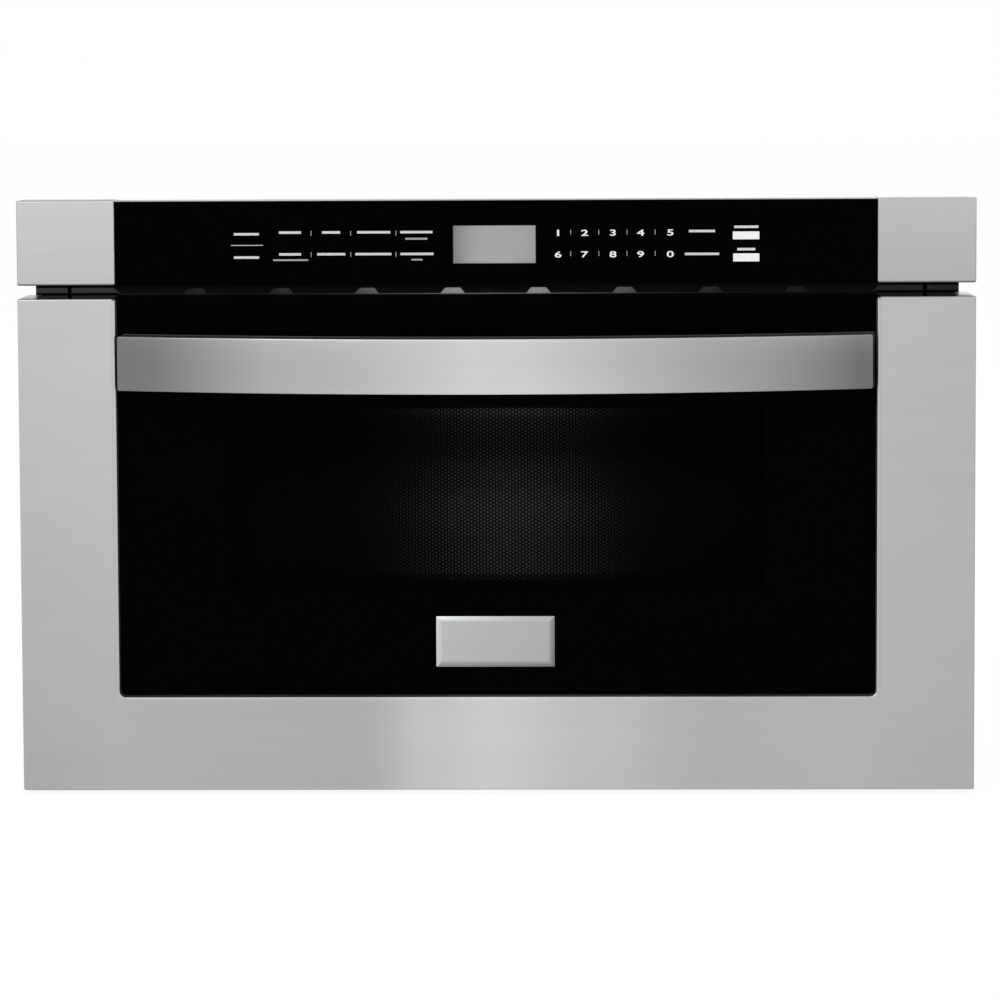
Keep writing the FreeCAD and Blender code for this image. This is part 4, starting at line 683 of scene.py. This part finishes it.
def drawerFront():
    # a U of folded sheet round the glass
    openingLow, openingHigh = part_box("door_glass")
    side, opening = frameHigh.x, openingHigh.x + frontSpec["glassPlay"]
    foot, top, floor = frameLow.z, frameHigh.z, frontSpec["openingFloor"]
    corners = [(-side, top), (-side, foot), (side, foot), (side, top), (opening, top), (opening, floor),
               (-opening, floor), (-opening, top)]
    atFloor = [z == floor for x, z in corners]
    corner = frontSpec["outerCorner"]
    radii = [frontSpec["openingCorner"] if inner else corner for inner in atFloor]
    bends = [frontSpec["openingBend"] if inner else frontSpec["bend"] for inner in atFloor]
    points, faces = foldedSheet(corners, radii, bends, frameLow.y, frameHigh.y)
    # the folded tops rise a little to the back, and their outer ends draw in, both fading out round
    # the corners
    lift = np.clip((points[:, 2] - top + corner) / corner, 0, 1) * (points[:, 1] > frameHigh.y - 1e-6)
    outer = np.abs(points[:, 0]) > side - corner - 1e-4
    points[:, 2] += lift * frontSpec["rise"]
    points[:, 0] -= np.sign(points[:, 0]) * lift * outer * frontSpec["mitre"]
    piece = makePiece("drawer_front_sheet", (points, faces), finishes["stainless"], "drawer",
                      ["drawer_frame"])
    thicken(piece, frontSpec["sheet"])


panelSpec = {"bend": 0.0013, "corner": 0.0014, "sheet": 0.0010, "lipHeight": 0.001, "lipDepth": 0.010,
             "lipBevel": 0.0003}


def panelEnds():
    # the two folded blocks at the panel's ends, and the lip over its glass
    glassLow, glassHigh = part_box("control_glass")
    parts = []
    for outer, inner in ((panelLow.x, glassLow.x), (glassHigh.x, panelHigh.x)):
        corners = [(outer, panelHigh.z), (outer, panelLow.z), (inner, panelLow.z), (inner, panelHigh.z)]
        parts.append(foldedSheet(corners, panelSpec["corner"], panelSpec["bend"], panelLow.y, panelHigh.y))
    ends = makePiece("panel_end_blocks", joined(*parts), finishes["panelSteel"], "chassis",
                     ["control_fascia"])
    thicken(ends, panelSpec["sheet"])
    lip = block((glassLow.x, panelLow.y, panelHigh.z - panelSpec["lipHeight"]),
                (glassHigh.x, panelLow.y + panelSpec["lipDepth"], panelHigh.z))
    lipPiece = makePiece("panel_top_lip", lip, finishes["panelSteel"], "chassis")
    addModifier(lipPiece, "BEVEL", width=panelSpec["lipBevel"], segments=2, limit_method="ANGLE")


drawerFront()
panelEnds()
print("folded fronts made")


handleSpec = {"skin": 0.0012, "thickness": 0.011, "proud": 0.004, "corner": 0.0012, "cornerSteps": 8,
              "edgeSteps": 5, "columns": 121, "aside": -0.0009, "coreInset": 0.0006, "coreRise": 0.0005,
              "skinEdge": 0.0005, "coreEdge": 0.0002, "backEdge": 0.0003, "backSheet": 0.0009,
              "backRise": 0.0011, "backAside": 0.0012, "backReach": 0.0033}


def bowedLayer(half, low, high, outer, inner, bowRadius, bowY, edge, aside):
    # a bar bent on a circle: the section is a rectangle with round edges, carried along the arc by
    # its angle, and near both ends its height shrinks with a quarter circle
    corner, columns = handleSpec["corner"], handleSpec["columns"]
    run = half - corner + corner * np.sin(np.linspace(0, math.pi / 2, handleSpec["cornerSteps"]))
    straight = np.linspace(-half + corner, half - corner, columns)[1:-1]
    across = np.concatenate([-run[::-1], straight, run])
    past = np.clip((np.abs(across) - (half - corner)) / corner, 0, 1)
    shrink = corner * (1 - np.sqrt(1 - past ** 2))
    section = [(outer, low), (inner, low), (inner, high), (outer, high)]
    loop = roundedLoop(section, edge, handleSpec["edgeSteps"])[0]
    middle = (low + high) / 2
    height = middle + (loop[None, :, 1] - middle) * (1 - shrink / ((high - low) / 2))[:, None]
    radius = bowRadius - loop[None, :, 0] + 0 * height
    angle = across[:, None] / bowRadius
    points = np.stack([aside + radius * np.sin(angle), bowY - radius * np.cos(angle), height], -1)
    faces = gridFaces(len(across), len(loop), wrap=True) + capFaces(len(across), len(loop))
    return points.reshape(-1, 3), faces


def handle():
    # a thin skin in front, a dark core and a painted strip behind, bent on one circle: its radius
    # comes from half the length and the bow
    low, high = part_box("handle_strip")
    spec = handleSpec
    half = high.x
    bow = frameLow.y - spec["proud"] - low.y
    bowRadius = (half * half + bow * bow) / (2 * bow)
    bowY = low.y + bowRadius
    reach = bowRadius * math.asin(half / bowRadius)
    skin = bowedLayer(reach, low.z, high.z, 0.0, spec["skin"], bowRadius, bowY, spec["skinEdge"],
                      spec["aside"])
    makePiece("handle_skin", skin, finishes["handleSteel"], "drawer", ["handle_strip"])
    inset, back = spec["coreInset"], spec["thickness"] - spec["backSheet"]
    core = bowedLayer(reach - inset, low.z + inset, high.z + spec["coreRise"], spec["skin"], back,
                      bowRadius, bowY, spec["coreEdge"], spec["aside"])
    makePiece("handle_core_bar", core, finishes["handle_dark"], "drawer", ["handle_core"])
    rear = bowedLayer(reach + spec["backReach"], low.z, high.z + spec["backRise"], back,
                      spec["thickness"], bowRadius, bowY, spec["backEdge"], spec["backAside"])
    makePiece("handle_back_strip", rear, finishes["handleBack"], "drawer")


handle()
print("handle made")


screenSpec = {"pitch": 0.00238, "hole": 0.00078, "border": 0.0012, "sideLap": 0.4, "footLap": 0.2,
              "inFront": 0.0002, "borderInFront": 0.00015, "filmInset": 0.001, "filmGap": 0.00002,
              "filmBack": 0.0002}


def border(low, high, innerLow, innerHigh, y):
    # a flat frame between two rectangles
    outer = np.array([(low.x, low.z), (high.x, low.z), (high.x, high.z), (low.x, high.z)])
    inner = np.array([innerLow, (innerHigh[0], innerLow[1]), innerHigh, (innerLow[0], innerHigh[1])])
    flat = np.concatenate([outer, inner])
    points = np.stack([flat[:, 0], np.full(8, y), flat[:, 1]], -1)
    return points, [[side, (side + 1) % 4, (side + 1) % 4 + 4, side + 4] for side in range(4)]


def windowScreen():
    # six-sided cells in columns, every second column half a pitch lower; each cell is a ring of six
    # quads from its six corners to six points round the hole
    spec = screenSpec
    pitch, inset = spec["pitch"], spec["filmInset"]
    step = pitch * math.sqrt(3) / 2
    half = (screenHigh.x - screenLow.x) / 2 - spec["border"]
    columns = int((2 * half - pitch) / step)
    tall = screenHigh.z - screenLow.z - 2 * spec["border"]
    rows = int((tall - pitch) / pitch)
    column, row = np.meshgrid(np.arange(columns), np.arange(rows), indexing="ij")
    middleZ = (screenLow.z + screenHigh.z) / 2
    x = (column - (columns - 1) / 2) * step
    z = middleZ + (row - (rows - 1) / 2) * pitch + (column % 2 - 0.5) * pitch / 2
    angle = np.arange(6) * math.pi / 3
    hexagon = np.stack([np.cos(angle), np.sin(angle)], -1)
    ring = np.concatenate([hexagon * (pitch / math.sqrt(3)), hexagon * spec["hole"]])
    spots = np.stack([x.ravel(), z.ravel()], -1)[:, None] + ring[None]
    y = np.full(spots.shape[:2] + (1,), screenHigh.y - spec["inFront"])
    points = np.concatenate([spots[..., :1], y, spots[..., 1:]], -1).reshape(-1, 3)
    inner = np.arange(6)
    cell = np.stack([inner, (inner + 1) % 6, (inner + 1) % 6 + 6, inner + 6], -1)
    faces = (np.arange(len(spots))[:, None, None] * 12 + cell[None]).reshape(-1, 4).tolist()
    sideLap, footLap = pitch * spec["sideLap"], pitch * spec["footLap"]
    edge = border(screenLow, screenHigh, (x.min() - sideLap, z.min() - footLap),
                  (x.max() + sideLap, z.max() + footLap), screenHigh.y - spec["borderInFront"])
    # the screen and the film behind it carry painted glow
    makePiece("perforated_screen", joined((points, faces), edge), finishes["litScreen"], "drawer",
              ["window_screen"])
    film = block((screenLow.x + inset, screenHigh.y + spec["filmGap"], screenLow.z + inset),
                 (screenHigh.x - inset, screenHigh.y + spec["filmBack"], screenHigh.z - inset))
    makePiece("window_glow_film", film, finishes["glow"], "drawer")


windowScreen()
print("window screen made")


badgeSpec = {"bevel": 0.0040, "rim": 0.0005, "rings": 9, "corner": 0.0003, "cornerSteps": 3,
             "aside": -0.0012, "sharp": 50}


def badge():
    # the bare plate, as nested rectangles: each lies further in by its share of the bevel and stands
    # proud by the sine of that share's quarter turn, so the bevel rounds into the flat
    low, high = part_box("badge_plate")
    share = np.linspace(0, 1, badgeSpec["rings"])
    inset = np.append(0.0, badgeSpec["bevel"] * share)
    start = high.y - badgeSpec["rim"]
    depth = np.append(high.y, start + (low.y - start) * np.sin(share * math.pi / 2))
    corners = [(low.x, high.z), (low.x, low.z), (high.x, low.z), (high.x, high.z)]
    line = roundedLoop(corners, badgeSpec["corner"], badgeSpec["cornerSteps"])[0]
    middle = np.array([(low.x + high.x) / 2, (low.z + high.z) / 2])
    half = np.abs(line - middle).max(0)
    rings = middle + (line - middle)[None] * (1 - inset[:, None, None] / half)
    points = np.stack([rings[..., 0] + badgeSpec["aside"], np.broadcast_to(depth[:, None], rings.shape[:2]),
                       rings[..., 1]], -1).reshape(-1, 3)
    faces = gridFaces(len(inset), len(line), wrap=True) + capFaces(len(inset), len(line))
    makePiece("bevelled_plate", (points, faces), finishes["badge_metal"], "drawer",
              ["badge_plate"], sharp=badgeSpec["sharp"])


badge()
print("plate made")


# plain bars stand for the keys' names; places are columns and rows of a grid over the front, whose
# steps are scaleX and scaleZ
markSpec = {"scaleX": 0.0006343, "middle": 497.5, "scaleZ": 0.0006405, "foot": 788.2, "lift": 0.003,
            "proud": 0.00005, "seat": 0.00001, "line": 0.0004, "barTrim": 1.3, "smallTrim": 0.6,
            "bars": [(237, 231, 262, 236), (237, 254, 262, 259), (282, 229.5, 304, 234.5),
                     (282, 251, 304, 256), (325, 229.5, 343, 234.5), (320, 251, 348, 256),
                     (360, 229.5, 393, 234.5),
                     (358, 251, 394, 256), (403, 229.5, 435, 234.5), (403, 251, 436, 256),
                     (690, 229.5, 716, 234.5), (686, 252, 720, 257), (735, 225.5, 759, 230.5),
                     (738, 247.5, 756, 252.5)],
            "small": [(276, 257.8, 311, 260.6), (414, 257.8, 425, 260.6), (408, 237, 430, 240)],
            "boxes": [(733.6, 232.6, 760, 240.3), (734, 254.2, 760, 262.1)],
            "across": [(234, 244.5, 266)],
            "upright": [314, 353.5, 398.5, 572.5, 600.5, 628.5, 656.5],
            "uprightRows": [(230.4, 235.2), (251.4, 256.2)],
            "digits": "1234567890", "digitColumns": [560, 586.4, 614.5, 642, 671.5],
            "digitRows": [233.3, 254.6], "digitHeight": 0.0039, "digitStretch": 1.75, "digitBold": 0.018}


def markPoint(column, row):
    return ((column - markSpec["middle"]) * markSpec["scaleX"],
            markSpec["lift"] + (markSpec["foot"] - row) * markSpec["scaleZ"])


def markBlock(x0, y0, x1, y1, faceY, trim=0.0):
    # a thin block between two places of the grid, made lower by the trim at its top and foot
    left, top = markPoint(x0, y0 + trim)
    right, foot = markPoint(x1, y1 - trim)
    return block((left, faceY - markSpec["proud"], foot), (right, faceY - markSpec["seat"], top))


def digitShape(digit, centreX, centreZ, y):
    # one digit of Blender's own typeface, laid flat on the glass, scaled to its height and widened
    curve = bpy.data.curves.new("digit", "FONT")
    curve.body, curve.size, curve.align_x = digit, 1.0, "CENTER"
    curve.offset = markSpec["digitBold"]
    source = bpy.data.objects.new("digit", curve)
    bpy.context.scene.collection.objects.link(source)
    bpy.context.view_layer.update()
    mesh = bpy.data.meshes.new_from_object(source.evaluated_get(bpy.context.evaluated_depsgraph_get()))
    flat = np.zeros(len(mesh.vertices) * 3)
    mesh.vertices.foreach_get("co", flat)
    flat = flat.reshape(-1, 3)
    middle, tall = (flat.max(0) + flat.min(0)) / 2, flat[:, 1].max() - flat[:, 1].min()
    size = markSpec["digitHeight"] / tall
    x = centreX + (flat[:, 0] - middle[0]) * size * markSpec["digitStretch"]
    z = centreZ + (flat[:, 1] - middle[1]) * size
    faces = [list(face.vertices) for face in mesh.polygons]
    bpy.data.objects.remove(source)
    return np.stack([x, np.full(len(x), y), z], -1), faces


def panelMarks():
    spec = markSpec
    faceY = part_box("control_glass")[0].y
    half = spec["line"] / spec["scaleX"] / 2
    bars = [markBlock(*bar, faceY, spec["barTrim"]) for bar in spec["bars"]]
    bars += [markBlock(x0, y - half, x1, y + half, faceY) for x0, y, x1 in spec["across"]]
    boxes = [markBlock(*box, faceY) for box in spec["boxes"]]
    faint = [markBlock(*small, faceY, spec["smallTrim"]) for small in spec["small"]]
    faint += [markBlock(x - half, y0, x + half, y1, faceY) for x in spec["upright"]
              for y0, y1 in spec["uprightRows"]]
    makePiece("panel_bars", joined(*bars), finishes["barInk"], "chassis")
    makePiece("panel_boxes", joined(*boxes), finishes["ink"], "chassis")
    makePiece("panel_lines", joined(*faint), finishes["paleInk"], "chassis")
    places = [markPoint(column, row) for row in spec["digitRows"] for column in spec["digitColumns"]]
    digits = [digitShape(digit, *spot, faceY - spec["proud"])
              for digit, spot in zip(spec["digits"], places)]
    makePiece("panel_digits", joined(*digits), finishes["ink"], "chassis", turnOut=False)


panelMarks()
print("panel marks made")


studioSpec = {"floorHalf": 30.0, "floorColour": (0.8, 0.8, 0.8, 1), "floorShine": 1.1, "floorSeen": 0.82,
              "sky": 0.66, "skyColour": (0.97, 0.98, 1.0, 1),
              "lamps": [("key", (-1.4, -2.4, 2.2), 1.6, 34.0), ("fill", (2.0, -2.0, 1.4), 1.6, 12.0),
                        ("back", (0.6, 2.4, 2.0), 1.6, 16.0)],
              "aim": (0.0034, -0.272, 0.1893), "distance": 2.2, "height": 0.445, "shift": -0.1695,
              "frameWidth": 0.6343, "turn": 1.0, "roll": 0.26, "sensor": 36.0, "farthest": 200.0}


def floorFinish():
    # the camera sees it near white, and what it casts on the object is a plain pale floor's light
    finish = Finish("floor")
    shine = finish.add("ShaderNodeEmission", {}, {"Color": (1, 1, 1, 1),
                                                  "Strength": studioSpec["floorShine"]})
    paint = finish.add("ShaderNodeBsdfDiffuse", {}, {"Color": studioSpec["floorColour"]})
    seen = finish.seenRays() * studioSpec["floorSeen"]
    return finish.close(finish.add("ShaderNodeMixShader", {}, {0: seen, 1: paint, 2: shine}),
                        "ShaderNodeOutputMaterial")


def skyLight():
    world = bpy.data.worlds.new("studio")
    bpy.context.scene.world = world
    finish = Finish("studio", world)
    dim = finish.add("ShaderNodeBackground", {}, {"Color": studioSpec["skyColour"],
                                                  "Strength": studioSpec["sky"]})
    bright = finish.add("ShaderNodeBackground", {}, {"Color": (1, 1, 1, 1), "Strength": 1.0})
    finish.close(finish.add("ShaderNodeMixShader", {}, {0: finish.seenRays(), 1: dim, 2: bright}),
                 "ShaderNodeOutputWorld")


def studio():
    spec = studioSpec
    half = spec["floorHalf"]
    mesh = bpy.data.meshes.new("floor")
    corners = [(-half, -half, 0), (half, -half, 0), (half, half, 0), (-half, half, 0)]
    mesh.from_pydata(corners, [], [(0, 1, 2, 3)])
    mesh.materials.append(floorFinish())
    floor = bpy.data.objects.new("floor", mesh)
    bpy.context.scene.collection.objects.link(floor)
    skyLight()
    aim = np.array(spec["aim"])
    for name, spot, size, power in spec["lamps"]:
        light = bpy.data.lights.new(name, "AREA")
        light.size, light.energy = size, power
        lamp = bpy.data.objects.new(name, light)
        lamp.location = spot
        toward = Vector(aim - np.array(spot))
        lamp.rotation_euler = toward.to_track_quat("-Z", "Y").to_euler()
        bpy.context.scene.collection.objects.link(lamp)
    # the camera stands a little above the panel and looks down less than it aims: the shift does the
    # rest, which keeps the front's sides upright as in the photograph
    distance, drop = spec["distance"], spec["height"] - aim[2]
    pitch = math.atan((drop + spec["shift"] * spec["frameWidth"]) / distance)
    away = distance * math.cos(pitch) + drop * math.sin(pitch)
    camera = bpy.data.objects.new("camera", bpy.data.cameras.new("camera"))
    camera.data.sensor_width = spec["sensor"]
    camera.data.lens = camera.data.sensor_width * away / spec["frameWidth"]
    camera.data.shift_y = spec["shift"]
    camera.data.clip_end = spec["farthest"]
    turn = math.radians(spec["turn"])
    camera.location = (aim[0] + distance * math.sin(turn), aim[1] - distance * math.cos(turn),
                       spec["height"])
    camera.rotation_euler = (math.pi / 2 - pitch, math.radians(spec["roll"]), turn)
    bpy.context.scene.collection.objects.link(camera)
    bpy.context.scene.camera = camera
    bpy.context.scene.view_settings.view_transform = "Standard"


studio()
print("studio set")
